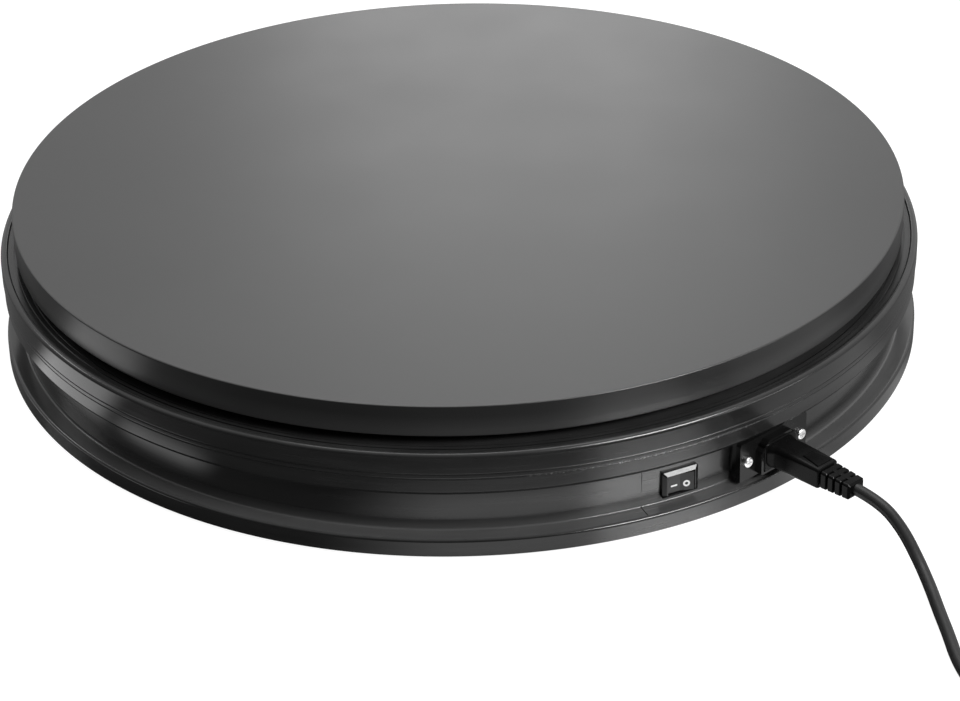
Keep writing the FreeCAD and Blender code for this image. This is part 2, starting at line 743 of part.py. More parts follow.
def roller_wheel():
    """The hard hub of the roller on +X, with a boss at each side."""
    hub = along_roller(ROLLER_HUB_RADIUS, ROLLER_WIDTH)
    dish = along_roller(ROLLER_HUB_RADIUS - 2.0, ROLLER_WIDTH + 2).cut(
        along_roller(ROLLER_HUB_RADIUS, ROLLER_WIDTH - 4.0))
    boss = along_roller(ROLLER_BOSS_RADIUS, ROLLER_BOSS_WIDTH)
    bore = along_roller(AXLE_RADIUS + AXLE_CLEARANCE, ROLLER_BOSS_WIDTH + 2)
    return hub.cut(dish).fuse(boss).cut(bore)


def roller_tyre():
    """The soft tyre of the roller on +X."""
    tyre = along_roller(ROLLER_RADIUS, ROLLER_WIDTH)
    rims = [e for e in tyre.Edges if e.Closed]
    return tyre.makeFillet(0.8, rims).cut(along_roller(ROLLER_HUB_RADIUS, ROLLER_WIDTH + 2))


def make_rollers():
    """Six rollers that carry the platter's outer part, with their brackets and pins."""
    wheel = roller_wheel()
    tyre = roller_tyre()
    bracket = roller_bracket().cut(roller_axle())
    screws = []
    for end in (-1, 1):
        seat = V(ROLLER_CIRCLE, end * (ROLLER_PLATE_HALF - 4.5), BOARD_TOP + CHEEK_SHEET)
        screws.append(pan_screw(seat, SMALL_SCREW))
    bracket = cut_all(bracket, screws)
    angles = spaced(ROLLER_COUNT)
    for number, angle in enumerate(angles, 1):
        export(f"roller_{number}_wheel", turned(wheel, angle))
        export(f"roller_{number}_tyre", turned(tyre, angle))
    all_screws = [turned(screw, angle) for angle in angles for screw in screws]
    export("roller_axles", *[turned(roller_axle(), angle) for angle in angles])
    export("roller_brackets", *[turned(bracket, angle) for angle in angles])
    export("bracket_screws", *all_screws)
    return all_screws


# Rocker switch

SWITCH_ORIGIN = at_bearing(SWITCH_SEAT, SWITCH_BEARING, SWITCH_Z)


def switch_body():
    """Bezel and snap-in body, hollow behind the rocker."""
    outer = rounded_section(BEZEL_WIDTH, BEZEL_HEIGHT, 0.8, 0.0)
    shoulder = rounded_section(BEZEL_WIDTH, BEZEL_HEIGHT, 0.8, BEZEL_THICKNESS - 1.4)
    front = rounded_section(BEZEL_WIDTH - 2 * BEZEL_BEVEL, BEZEL_HEIGHT - 2 * BEZEL_BEVEL, 0.5,
                            BEZEL_THICKNESS)
    lower = Part.makeLoft([outer, shoulder], True, True)
    bevel = Part.makeLoft([shoulder, front], True, True)
    body = rounded_prism(SWITCH_BODY_WIDTH, SWITCH_BODY_HEIGHT, 0.6, -SWITCH_BODY_DEPTH, 0)
    opening = rounded_prism(ROCKER_WIDTH + 2 * ROCKER_GAP, ROCKER_HEIGHT + 2 * ROCKER_GAP, ROCKER_GAP,
                            -ROCKER_WELL, BEZEL_THICKNESS + 1)
    return lower.fuse(bevel).fuse(body).cut(opening)


def rocker():
    """The rocker with its two faces meeting in a shallow valley, tilted so that its left side is in."""
    half = ROCKER_WIDTH / 2
    depth = ROCKER_PIVOT_DEPTH
    rise = half * math.tan(math.radians(ROCKER_TILT))
    valley = BEZEL_THICKNESS - ROCKER_VALLEY
    skirt = valley - ROCKER_SKIRT
    outline = [
        ((-half + 0.5, -ROCKER_HEIGHT / 2, skirt), 0.4),
        ((half - 0.5, -ROCKER_HEIGHT / 2, skirt), 0.4),
        ((half, -ROCKER_HEIGHT / 2, valley + rise), 0.3),
        ((0, -ROCKER_HEIGHT / 2, valley), 0),
        ((-half, -ROCKER_HEIGHT / 2, valley + rise), 0.3),
    ]
    face = Part.Face(Part.Wire(rounded_edges(outline, True)))
    block = face.extrude(V(0, ROCKER_HEIGHT, 0))
    # Y is up here, so a negative turn about it swings the left side in.
    block.rotate(V(0, 0, BEZEL_THICKNESS - depth), V(0, 1, 0), -ROCKER_TILT)
    return block


def make_switch():
    """The rocker switch beside the inlet."""
    terminals = []
    width, height, length = BLADE_SIZE
    for across in (-BLADE_OFFSET, BLADE_OFFSET):
        blade = Part.makeBox(width, height, length)
        blade.translate(V(across - width / 2, -height / 2, -SWITCH_BODY_DEPTH - BLADE_REACH))
        terminals.append(blade)
    body = cut_all(switch_body(), terminals)
    export("switch_housing", facing_out(body, SWITCH_ORIGIN, SWITCH_BEARING))
    export("switch_rocker", facing_out(rocker(), SWITCH_ORIGIN, SWITCH_BEARING))
    export("switch_terminals", *[facing_out(t, SWITCH_ORIGIN, SWITCH_BEARING) for t in terminals])


# Mains inlet and the lead's connector

INLET_ORIGIN = at_bearing(INLET_FACE, INLET_BEARING, INLET_Z)


def six_sided(width, height, start, end):
    """The inlet's outline: a rectangle whose two upper corners are cut off."""
    x = width / 2
    y = height / 2
    corner = min(width, height) * 0.3
    corners = [
        ((-x, -y, start), 1.0),
        ((x, -y, start), 1.0),
        ((x, y - corner, start), 1.5),
        ((x - corner, y, start), 1.5),
        ((-x + corner, y, start), 1.5),
        ((-x, y - corner, start), 1.5),
    ]
    face = Part.Face(Part.Wire(rounded_edges(corners, True)))
    return face.extrude(V(0, 0, end - start))


def inlet_pins():
    """Three contact pins that pass through to solder tabs at the back."""
    pins = []
    for across, up in ((-PIN_SPACING / 2, -PIN_OFFSET), (PIN_SPACING / 2, -PIN_OFFSET), (0, PIN_OFFSET)):
        width, height = PIN_SECTION
        back = -INLET_BODY_DEPTH - TAB_LENGTH
        front = -INLET_CAVITY_DEPTH + PIN_LENGTH
        pin = Part.makeBox(width, height, front - back)
        pin.translate(V(across - width / 2, up - height / 2, back))
        pins.append(pin)
    return pins


def connector():
    """The moulded connector of the lead: nose, shoulder, grip and ribbed strain relief."""
    nose = six_sided(INLET_CAVITY_WIDTH - 2 * NOSE_CLEARANCE, INLET_CAVITY_HEIGHT - 2 * NOSE_CLEARANCE,
                     -NOSE_DEPTH, SHOULDER_START)
    shoulder_wires = [
        rounded_section(SHOULDER_SIZE[0], SHOULDER_SIZE[1], 4.0, SHOULDER_START),
        rounded_section(GRIP_START_SIZE[0], GRIP_START_SIZE[1], 2.6, GRIP_START),
    ]
    grip_wires = [
        rounded_section(GRIP_START_SIZE[0], GRIP_START_SIZE[1], 2.6, GRIP_START),
        rounded_section(GRIP_END_SIZE[0], GRIP_END_SIZE[1], 2.0, GRIP_END),
    ]
    body = nose
    for wires in (shoulder_wires, grip_wires):
        body = body.fuse(Part.makeLoft(wires, True, True))
    relief_length = CONNECTOR_LENGTH - GRIP_END
    relief_wires = [
        rounded_section(RELIEF_START_SIZE[0], RELIEF_START_SIZE[1], 1.6, GRIP_END),
        rounded_section(RELIEF_END_SIZE[0], RELIEF_END_SIZE[1], 1.4, CONNECTOR_LENGTH),
    ]
    relief = Part.makeLoft(relief_wires, True, True)
    body = body.fuse(relief)
    gaps = []
    for i in range(RELIEF_SEGMENTS):
        z = GRIP_END + i * RELIEF_PITCH
        share = (z - GRIP_END) / relief_length
        width = RELIEF_START_SIZE[0] + (RELIEF_END_SIZE[0] - RELIEF_START_SIZE[0]) * share
        height = RELIEF_START_SIZE[1] + (RELIEF_END_SIZE[1] - RELIEF_START_SIZE[1]) * share
        around = rounded_prism(width + 6, height + 6, 1.0, z, z + RELIEF_GAP)
        core = rounded_prism(width - 2.4, height - 1.8, 1.0, z - 1, z + RELIEF_GAP + 1)
        gaps.append(around.cut(core))
    return cut_all(body, gaps + inlet_pins())


def make_inlet():
    """The inlet with its pins, screws and nuts, and the connector that is pushed into it."""
    flange = rounded_prism(INLET_FLANGE_WIDTH, INLET_FLANGE_HEIGHT, 1.5, -INLET_FLANGE_THICKNESS, 0)
    collar = six_sided(INLET_CAVITY_WIDTH + 2 * COLLAR_WALL[0], INLET_CAVITY_HEIGHT + 2 * COLLAR_WALL[1],
                       -1, INLET_COLLAR)
    body = six_sided(INLET_BODY_WIDTH, INLET_BODY_HEIGHT, -INLET_BODY_DEPTH, -1)
    cavity = six_sided(INLET_CAVITY_WIDTH, INLET_CAVITY_HEIGHT, -INLET_CAVITY_DEPTH, INLET_COLLAR + 1)
    screws = []
    nuts = []
    for side in (-1, 1):
        seat = V(side * INLET_SCREW_SPACING / 2, 0, 0)
        screws.append(pan_screw(seat, INLET_SCREW))
        outline = Part.makePolygon([seat + at_angle(NUT_RADIUS, angle, 1.0 - INLET_SCREW[-1])
                                    for angle in spaced(6) + [0.0]])
        nuts.append(Part.Face(outline).extrude(V(0, 0, NUT_HEIGHT)).cut(screws[-1]))
    inlet = flange.fuse(collar).fuse(body)
    inlet = cut_all(inlet, [cavity] + screws + inlet_pins())
    for name, shapes in (("inlet_body", [inlet]), ("inlet_pins", inlet_pins()),
                         ("inlet_screws", screws), ("inlet_nuts", nuts),
                         ("cord_connector", [connector()])):
        export(name, *[facing_out(s, INLET_ORIGIN, INLET_NORMAL_BEARING) for s in shapes])
    return [facing_out(s, INLET_ORIGIN, INLET_NORMAL_BEARING) for s in screws]


# Housing

def lower_housing(inlet_screws):
    """The tray with its flange, recessed waist and overhanging band."""
    waist_top = WAIST_RADIUS + WAIST_DRAFT
    inner = WAIST_RADIUS - WAIST_WALL
    shell = revolved([
        (0, TRAY_BOTTOM),
        (FLANGE_RADIUS, TRAY_BOTTOM, 0.6),
        (FLANGE_RADIUS, LEDGE_Z, 1.2),
        (WAIST_RADIUS, LEDGE_Z, WAIST_FOOT_ROUND),
        (waist_top, BAND_BOTTOM, 0.4),
        (BAND_RADIUS - 0.1 - BAND_CHAMFER[0], BAND_BOTTOM, 0.3),
        (BAND_RADIUS - 0.1, BAND_BOTTOM + BAND_CHAMFER[1], 0.3),
        (BAND_RADIUS, TRIM_BOTTOM, 0.8),
        (BAND_RADIUS - BAND_WALL, TRIM_BOTTOM),
        (BAND_RADIUS - BAND_WALL, BAND_BOTTOM + BAND_SHELF, 1.0),
        (inner + WAIST_DRAFT, BAND_BOTTOM + BAND_SHELF, 1.0),
        (inner, BOARD_BOTTOM, 1.0),
        (0, BOARD_BOTTOM),
    ])
    pad_width = INLET_FLANGE_WIDTH - 2 * PAD_INSET
    pad = Part.makeBox(pad_width, BAND_BOTTOM + 1 - LEDGE_Z + 1, 16.0)
    pad.translate(V(-pad_width / 2, LEDGE_Z - 1 - INLET_Z, -INLET_FLANGE_THICKNESS - 16.0))
    pad = facing_out(pad, INLET_ORIGIN, INLET_NORMAL_BEARING)
    pad = pad.cut(cylinder(inner + 0.5, 0, PLATE_TOP))
    housing = shell.fuse(pad).removeSplitter()
    inlet_hole = six_sided(INLET_BODY_WIDTH + 0.6, INLET_BODY_HEIGHT + 0.6, -40, 5)
    switch_hole = rounded_prism(SWITCH_BODY_WIDTH + 0.2, SWITCH_BODY_HEIGHT + 0.2, 0.6, -20, 20)
    switch_seat = rounded_prism(BEZEL_WIDTH + 0.2, BEZEL_HEIGHT + 0.2, 0.8, 0, 20)
    joint = Part.makeBox(JOINT_WIDTH, BAND_BOTTOM - LEDGE_Z - WAIST_FOOT_ROUND, 10.0)
    joint.translate(V(-JOINT_WIDTH / 2, LEDGE_Z + WAIST_FOOT_ROUND, -JOINT_DEPTH))
    joint_at = at_bearing(WAIST_RADIUS + WAIST_DRAFT / 2, JOINT_BEARING, 0)
    return cut_all(housing, [
        facing_out(inlet_hole, INLET_ORIGIN, INLET_NORMAL_BEARING),
        facing_out(switch_hole, SWITCH_ORIGIN, SWITCH_BEARING),
        facing_out(switch_seat, SWITCH_ORIGIN, SWITCH_BEARING),
        facing_out(joint, joint_at, JOINT_BEARING),
    ] + inlet_screws)


def upper_cover(cover_screws):
    """Skirt, rounded rim, two fine grooves and the deck with a slot over each roller."""
    cover = revolved([
        (DECK_HOLE_RADIUS, DECK_BOTTOM),
        (RIM_RADIUS - BAND_WALL - 3.0, DECK_BOTTOM, 2.0),
        (RIM_RADIUS - BAND_WALL, DECK_BOTTOM - 3.0, 1.0),
        (RIM_RADIUS - BAND_WALL, TRIM_TOP),
        (RIM_RADIUS, TRIM_TOP, 0.5),
        (RIM_RADIUS, RIM_TOP, RIM_ROUND),
        (RIM_INNER, RIM_TOP, 0.8),
        (RIM_INNER, LAND_Z, 0.3),
        (OUTER_GROOVE_RADIUS + GROOVE_WIDTH, LAND_Z),
        (OUTER_GROOVE_RADIUS + GROOVE_WIDTH, LAND_Z - OUTER_GROOVE_DEPTH),
        (OUTER_GROOVE_RADIUS, LAND_Z - OUTER_GROOVE_DEPTH),
        (OUTER_GROOVE_RADIUS, LAND_Z),
        (INNER_GROOVE_RADIUS + GROOVE_WIDTH, LAND_Z),
        (INNER_GROOVE_RADIUS + GROOVE_WIDTH, LAND_Z - INNER_GROOVE_DEPTH),
        (INNER_GROOVE_RADIUS, LAND_Z - INNER_GROOVE_DEPTH),
        (INNER_GROOVE_RADIUS, DECK_TOP),
        (DECK_HOLE_RADIUS, DECK_TOP),
    ])
    slot = Part.makeBox(SLOT_WIDTH, SLOT_LENGTH, 10.0)
    slot.translate(V(ROLLER_CIRCLE - SLOT_WIDTH / 2, -SLOT_LENGTH / 2, DECK_BOTTOM - 4))
    slots = [turned(slot, angle) for angle in spaced(ROLLER_COUNT)]
    return cut_all(cover, slots + cover_screws)


def seam_trim():
    """The thin moulding between the band and the cover."""
    return revolved([
        (BAND_RADIUS - BAND_WALL, TRIM_BOTTOM),
        (TRIM_RADIUS, TRIM_BOTTOM, 0.8),
        (TRIM_RADIUS, TRIM_TOP, 0.8),
        (BAND_RADIUS - BAND_WALL, TRIM_TOP),
    ])


def make_housing(board_tools, inlet_screws):
    """Tray, board, cover, trim, posts, feet and their screws."""
    posts = []
    cover_screws = []
    for angle in spaced(POST_COUNT, 30.0):
        middle = at_angle(POST_CIRCLE, angle, 0)
        posts.append(cylinder(POST_RADIUS, BOARD_TOP, DECK_BOTTOM, middle))
        seat = at_angle(POST_CIRCLE, angle, DECK_TOP)
        cover_screws.append(flat_screw(seat, COVER_SCREW))
    base_screws = []
    for angle in spaced(BASE_SCREW_COUNT, 22.5):
        seat = at_angle(BASE_SCREW_CIRCLE, angle, TRAY_BOTTOM)
        base_screws.append(flat_screw(seat, BASE_SCREW, UP))
    feet = []
    for angle in spaced(FOOT_COUNT):
        middle = at_angle(FOOT_CIRCLE, angle, 0)
        feet.append(cylinder(FOOT_RADIUS, 0, FOOT_HEIGHT, middle))
    board = cylinder(BOARD_RADIUS, BOARD_BOTTOM, BOARD_TOP)
    export("lower_housing", cut_all(lower_housing(inlet_screws), base_screws))
    export("base_board", cut_all(board, board_tools + base_screws))
    export("rubber_feet", *feet)
    export("base_screws", *base_screws)
    export("upper_cover", upper_cover(cover_screws))
    export("seam_trim", seam_trim())
    export("cover_posts", *[post.cut(screw) for post, screw in zip(posts, cover_screws)])
    export("cover_screws", *cover_screws)


# Wiring and mains lead

def local_point(origin, bearing, right, up, out):
    """A point given by its distances right, up and out from a place on the wall."""
    turn = math.radians(bearing)
    across = V(math.cos(turn), math.sin(turn), 0)
    outward = V(math.sin(turn), -math.cos(turn), 0)
    return origin + across * right + UP * up + outward * out


def make_wires():
    """The wires inside, from the inlet's tabs to the switch, the motor and the bearing housing."""
    tab_end = -INLET_BODY_DEPTH - TAB_LENGTH
    blade_end = -SWITCH_BODY_DEPTH - BLADE_REACH
    live = local_point(INLET_ORIGIN, INLET_NORMAL_BEARING, -PIN_SPACING / 2, -PIN_OFFSET, tab_end)
    neutral = local_point(INLET_ORIGIN, INLET_NORMAL_BEARING, PIN_SPACING / 2, -PIN_OFFSET, tab_end)
    earth = local_point(INLET_ORIGIN, INLET_NORMAL_BEARING, 0, PIN_OFFSET, tab_end)
    switch_in = local_point(SWITCH_ORIGIN, SWITCH_BEARING, BLADE_OFFSET, 0, blade_end)
    switch_out = local_point(SWITCH_ORIGIN, SWITCH_BEARING, -BLADE_OFFSET, 0, blade_end)
    inlet_inward = V(-math.sin(math.radians(INLET_NORMAL_BEARING)),
                     math.cos(math.radians(INLET_NORMAL_BEARING)), 0)
    switch_inward = V(-math.sin(math.radians(SWITCH_BEARING)),
                      math.cos(math.radians(SWITCH_BEARING)), 0)
    motor_side = at_angle(GEAR_CENTRES, MOTOR_ANGLE, 0)
    inlet_to_switch = [
        live,
        live + inlet_inward * 12 + V(-3, -2, -1),
        V(118.0, -177.0, 20.0),
        switch_in + switch_inward * 13 + V(3, -2, -1),
        switch_in,
    ]
    switch_to_motor = [
        switch_out,
        switch_out + switch_inward * 9 + V(-2, 0, -1),
        V(66.0, -178.0, 18.0),
        V(42.0, -150.0, 18.0),
        V(14.0, -135.0, 19.5),
        motor_side + V(2.0, -MOTOR_RADIUS + 1.0, 21.0 - motor_side.z),
    ]
    inlet_to_motor = [
        neutral,
        neutral + inlet_inward * 8 + V(-1, 1, -1),
        V(128.0, -140.0, 18.0),
        V(98.0, -122.0, 17.0),
        V(66.0, -118.0, 17.5),
        V(40.0, -121.0, 19.5),
        motor_side + V(20.0, -20.8, 21.0 - motor_side.z),
    ]
    inlet_to_earth = [
        earth,
        earth + inlet_inward * 9 + V(-1, 1, -2),
        V(122.0, -130.0, 20.0),
        V(100.0, -95.0, 19.0),
        V(72.0, -62.0, 19.0),
        V(48.0, -42.0, 19.0),
        at_angle(HOUSING_FLANGE_RADIUS - 0.5, -38.0, BOARD_TOP + 3.0),
    ]
    export("live_wires", tube("live wire to switch", inlet_to_switch, WIRE_DIAMETER),
           tube("live wire to motor", switch_to_motor, WIRE_DIAMETER))
    export("neutral_wire", tube("neutral wire", inlet_to_motor, WIRE_DIAMETER))
    export("earth_wire", tube("earth wire", inlet_to_earth, WIRE_DIAMETER))


def plug():
    """The wall plug on its side, pointing along +Y from the tail's end."""
    x, y, z = TAIL_ROUTE[-1]
    outline = [
        ((0, 0, 0), 0),
        ((PLUG_SLEEVE_RADIUS, 0, 0), 0.6),
        ((PLUG_NECK_RADIUS, PLUG_NECK, 0), 2.0),
        ((PLUG_GRIP_RADIUS, PLUG_GRIP_START, 0), 4.0),
        ((PLUG_GRIP_RADIUS + 1.0, PLUG_GRIP_END, 0), 4.0),
        ((PLUG_RADIUS, PLUG_LENGTH - PLUG_FACE_THICKNESS, 0), 2.0),
        ((PLUG_RADIUS, PLUG_LENGTH, 0), 1.2),
        ((0, PLUG_LENGTH, 0), 0),
    ]
    body = Part.Face(Part.Wire(rounded_edges(outline, True))).revolve(V(0, 0, 0), V(0, 1, 0), 360)
    pins = []
    for side in (-1, 1):
        start = V(side * PLUG_PIN_SPACING / 2, PLUG_LENGTH - PLUG_PIN_ROOT, 0)
        pin = Part.makeCylinder(PLUG_PIN_RADIUS, PLUG_PIN_LENGTH + PLUG_PIN_ROOT, start, V(0, 1, 0))
        tip = [e for e in pin.Edges if e.Closed and e.CenterOfMass.y > PLUG_LENGTH]
        pins.append(pin.makeFillet(PLUG_PIN_TIP_ROUND, tip))
    body = cut_all(body, pins)
    for shape in [body] + pins:
        shape.translate(V(x, y, z))
    return body, pins


def make_lead():
    """The lead: tube to the coil, the coil's outer shape, the tail and the wall plug."""
    exit_point = local_point(INLET_ORIGIN, INLET_NORMAL_BEARING, 0, 0, CONNECTOR_LENGTH)
    print(f"the lead leaves the connector at {tuple(round(c, 2) for c in exit_point)}")
    route = [tuple(exit_point)] + CORD_ROUTE
    export("mains_cord", tube("mains cord", route, CORD_DIAMETER))
    export("cord_tail", tube("cord tail", TAIL_ROUTE, CORD_DIAMETER))
    half = CORD_DIAMETER / 2
    height = COIL_LAYERS * CORD_DIAMETER
    coil = revolved([
        (COIL_INNER_TURN - half, 0, 2.0),
        (COIL_OUTER_TURN + half, 0, 2.0),
        (COIL_OUTER_TURN + half, height, 3.0),
        (COIL_INNER_TURN - half, height, 3.0),
    ])
    coil.translate(V(COIL_CENTRE[0], COIL_CENTRE[1], 0))
    export("cord_coil", coil)
    body, pins = plug()
    export("plug_body", body)
    export("plug_pins", *pins)


make_platter()
tools = make_bearing() + make_motor() + make_rollers()
make_switch()
make_housing(tools, make_inlet())
make_wires()
make_lead()
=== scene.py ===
"""Looks of a motorised turntable display stand, built around its CAD frame.

Metres, +Z up, the same frame as the CAD: the origin is on the platter's axis at the feet,
and the front faces -Y. Bearings are in degrees from -Y towards +X.
"""

import json
import math

import bmesh
import bpy
from mathutils import Euler, Matrix, Vector


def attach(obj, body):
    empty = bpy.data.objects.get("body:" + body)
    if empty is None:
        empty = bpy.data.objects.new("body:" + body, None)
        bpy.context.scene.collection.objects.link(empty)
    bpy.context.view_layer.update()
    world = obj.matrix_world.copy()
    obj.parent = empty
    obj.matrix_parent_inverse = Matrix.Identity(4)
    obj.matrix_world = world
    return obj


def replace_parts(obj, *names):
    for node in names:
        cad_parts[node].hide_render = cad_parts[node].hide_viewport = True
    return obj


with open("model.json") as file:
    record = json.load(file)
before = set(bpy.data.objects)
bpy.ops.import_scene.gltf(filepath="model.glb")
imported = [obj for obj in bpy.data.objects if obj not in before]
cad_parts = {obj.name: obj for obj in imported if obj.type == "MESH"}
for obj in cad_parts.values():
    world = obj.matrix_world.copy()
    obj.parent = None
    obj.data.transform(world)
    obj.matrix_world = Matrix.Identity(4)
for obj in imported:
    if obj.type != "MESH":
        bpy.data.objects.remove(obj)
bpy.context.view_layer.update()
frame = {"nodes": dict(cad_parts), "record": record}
nodes = frame["nodes"]

MM = 0.001
UP = Vector((0, 0, 1))

# Camera, at the photographer's place
CAMERA_PLACE = Vector((0.0, -1.58193, 0.877))
CAMERA_TURN = Euler([math.radians(a) for a in (60.2751, 1.1398, -1.0244)])
CAMERA_LENS = 117.46

# Rocker switch: the middle of its seat, its size and its printed marks
SWITCH_BEARING = 25.9
SWITCH_SEAT_RADIUS = 249.6 * MM
SWITCH_HEIGHT = 22.8 * MM
BEZEL_FRONT = 2.8 * MM
ROCKER_VALLEY = BEZEL_FRONT - 0.9 * MM
ROCKER_PIVOT = BEZEL_FRONT - 3.6 * MM
ROCKER_TILT = math.radians(8.0)
MARK_REACH = 3.45 * MM
MARK_DROP = 1.2 * MM
PRINT_HEIGHT = 0.05 * MM
DASH_SIZE = (3.7 * MM, 0.95 * MM, 0.3 * MM)
RING_INNER = 0.85 * MM
RING_OUTER = 1.85 * MM

# Mains inlet: the middle of its flange's face
INLET_BEARING = 38.8
INLET_NORMAL_BEARING = 41.5
INLET_RADIUS = 255.3 * MM
INLET_HEIGHT = 25.3 * MM
INLET_PAD_DROP = 0.45 * MM
COLLAR_ROUNDING = 0.65 * MM

# Plate and housing, in millimetres: radius and height of each corner, and its rounding
AROUND = 360
PLATE_OUTLINE = [
    (0, 68.4), (244.0, 68.4), (244.0, 67.4, 0.4), (249.8, 67.4, 0.9), (250.0, 72.4, 40.0),
    (250.0, 85.0, 0.8), (0, 85.0),
]
LOWER_OUTLINE = [
    (0, 2.0), (259.0, 2.0, 0.6), (259.0, 12.0, 1.8), (249.0, 12.0, 1.2), (250.0, 37.8, 0.4),
    (256.5, 37.8, 0.3), (257.9, 40.0, 0.3), (258.0, 47.6, 0.5), (255.0, 47.6), (255.0, 41.0, 1.0),
    (247.4, 41.0, 1.0), (246.4, 5.0, 1.0), (0, 5.0),
]
TRIM_OUTLINE = [
    (255.0, 47.6), (258.2, 47.6, 0.8), (258.2, 50.6, 0.8), (255.0, 50.6),
]
COVER_OUTLINE = [
    (24.0, 57.2), (252.4, 57.2, 2.0), (255.4, 54.2, 1.0), (255.4, 50.6), (258.4, 50.6, 0.5),
    (258.4, 62.0, 2.4), (254.4, 62.0, 0.8), (254.4, 60.6, 0.3), (251.0, 60.6), (251.0, 59.8),
    (250.0, 59.8), (250.0, 60.6), (247.8, 60.6), (247.8, 59.4), (246.8, 59.4), (246.8, 60.2),
    (24.0, 60.2),
]
JOINT_BEARING = 21.0
JOINT_HEIGHT = 25.5 * MM
WAIST_JOINT_RADIUS = 249.5 * MM
LEDGE_JOINT_RADIUS = 254.0 * MM
LEDGE_HEIGHT = 12.0 * MM

# Glue crumbs along the seam: the middle of their stretch, and half of it in degrees
SEAM_HEIGHT = 47.6 * MM
CRUMBS_BEARING = 22.0
CRUMBS_HALF = 10.0

# Prisms added or cut out, in millimetres: width, height, and where they start and end
INLET_PAD = (45.0, 27.2, -13.0, -3.0)
INLET_HOLE = (27.6, 20.4, -40.0, 5.0)
SWITCH_HOLE = (19.2, 13.2, -20.0, 20.0)
WAIST_JOINT = (0.35, 24.6, -0.25, 9.75)
LEDGE_JOINT = (0.5, 1.2, -5.5, 3.5)
ROLLER_SLOT = (14.0, 32.0, 53.0, 65.0)
ROLLER_COUNT = 6
ROLLER_CIRCLE = 190.0 * MM

# Countersunk seats, in millimetres: distance from the axis, number, angle of the first from +X, height,
# and 1 where the heads face down or -1 where they face up
BASE_SCREWS = (205.0, 8, 22.5, 2.0, 1)
COVER_SCREWS = (225.0, 6, 30.0, 60.2, -1)
SCREW_HEAD = 3.8
SCREW_SHANK = 2.0
SCREW_CLEARANCE = 0.05
SCREW_HOLE_START = -0.5
SCREW_HOLE_END = 4.5

# Mains lead
CORD_DIAMETER = 6.5 * MM
CORD_EXIT = (0.19787, -0.24181, 0.0253)
CORD_ROUTE = [
    (0.2086, -0.2540, 0.0249),
    (0.2180, -0.2682, 0.0180),
    (0.2246, -0.2830, 0.0084),
    (0.2282, -0.3010, 0.0040),
    (0.2296, -0.3205, 0.0033),
    (0.2313, -0.3410, 0.00325),
    (0.2322, -0.3615, 0.00325),
    (0.2366, -0.3820, 0.00325),
    (0.2475, -0.4005, 0.00325),
    (0.2625, -0.4150, 0.00325),
    (0.2810, -0.4232, 0.00325),
]
TAIL_ROUTE = [
    (0.3538, -0.3670, 0.0102),
    (0.3536, -0.3540, 0.0132),
    (0.3532, -0.3415, 0.0170),
    (0.3533, -0.3310, 0.0185),
]
COIL_CENTRE = Vector((0.305, -0.3755, 0))
COIL_OUTER_TURN = 48.5 * MM
COIL_TURNS = 3
COIL_POINTS = 20
COIL_CLIMB = 0.25
PLUG_START = Vector((0.3533, -0.3310, 0.0185))

# Connector, in millimetres: width, height, corner and distance out of each section
NOSE_SECTIONS = [
    (23.2, 15.8, 1.5, -16.0),
    (23.2, 15.8, 2.0, 4.6),
    (22.6, 15.2, 3.0, 5.1),
]
GRIP_SECTIONS = [
    (21.0, 14.6, 5.4, 4.0),
    (20.4, 14.4, 5.2, 5.6),
    (18.8, 14.0, 4.6, 7.2),
    (17.6, 13.6, 4.0, 9.0),
    (16.9, 13.1, 3.0, 16.0),
    (15.3, 11.75, 1.7, 36.4),
    (14.9, 11.35, 1.7, 37.1),
    (13.6, 10.2, 1.5, 37.5),
]
RELIEF_START = 37.5
RELIEF_END = 57.2
RELIEF_START_SIZE = (13.8, 10.2)
RELIEF_END_SIZE = (12.0, 8.8)
RIB_COUNT = 4
RIB_PITCH = 4.6
RIB_GAP = 1.2
RIB_EDGE = 0.35
LAST_RIB_EDGE = 1.0
RIB_CORNER = 1.5
SPINE_WIDTH = 2.8
SPINE_SINK = 0.1
SPINE_GAP = 0.3
SPINE_CORNER = 0.5
CORE_SECTIONS = [
    (11.4, 8.4, 1.6, RELIEF_START - 1.0),
    (9.6, 7.0, 1.4, RELIEF_END - 0.4),
]

# Thumb panel on the connector, in millimetres. Each step of its profile has an inset and a rise
PANEL_NEAR = 23.3
PANEL_FAR = 35.4
PANEL_NEAR_HALF = 3.4
PANEL_FAR_HALF = 5.2
PANEL_PROFILE = [(0.0, -0.6), (0.0, 0.35), (0.3, 0.6)]
GRIP_TOP = 6.7
GRIP_TOP_START = 9.0
GRIP_TOP_SLOPE = 0.82 / 27.4

# Wall plug, in millimetres: radius and distance from the cord of each corner, and its ribbed neck
PLUG_OUTLINE = [
    (3.9, 0.0), (4.5, 0.5), (5.4, 8.0), (7.0, 20.5), (7.8, 22.3), (11.2, 24.6), (12.2, 27.0),
    (12.6, 36.0), (13.0, 43.0), (14.4, 46.0), (17.4, 49.2), (18.3, 50.4), (18.5, 51.8),
    (18.5, 60.6), (18.2, 61.5), (17.4, 62.0),
]
PLUG_AROUND = 48
PLUG_RIB_COUNT = 5
PLUG_RIB_FIRST = 3.0
PLUG_RIB_PITCH = 3.4
PLUG_RIB_PROFILE = [(-0.6, -0.9), (0.35, -0.6), (0.35, 0.6), (-0.6, 0.9)]
PLUG_NECK_RADIUS = 4.9
PLUG_NECK_SLOPE = 0.12

# Strap round the coil
TIE_WIDTH = 12.0 * MM
TIE_THICKNESS = 0.5 * MM
TIE_CORNER = 3.0 * MM

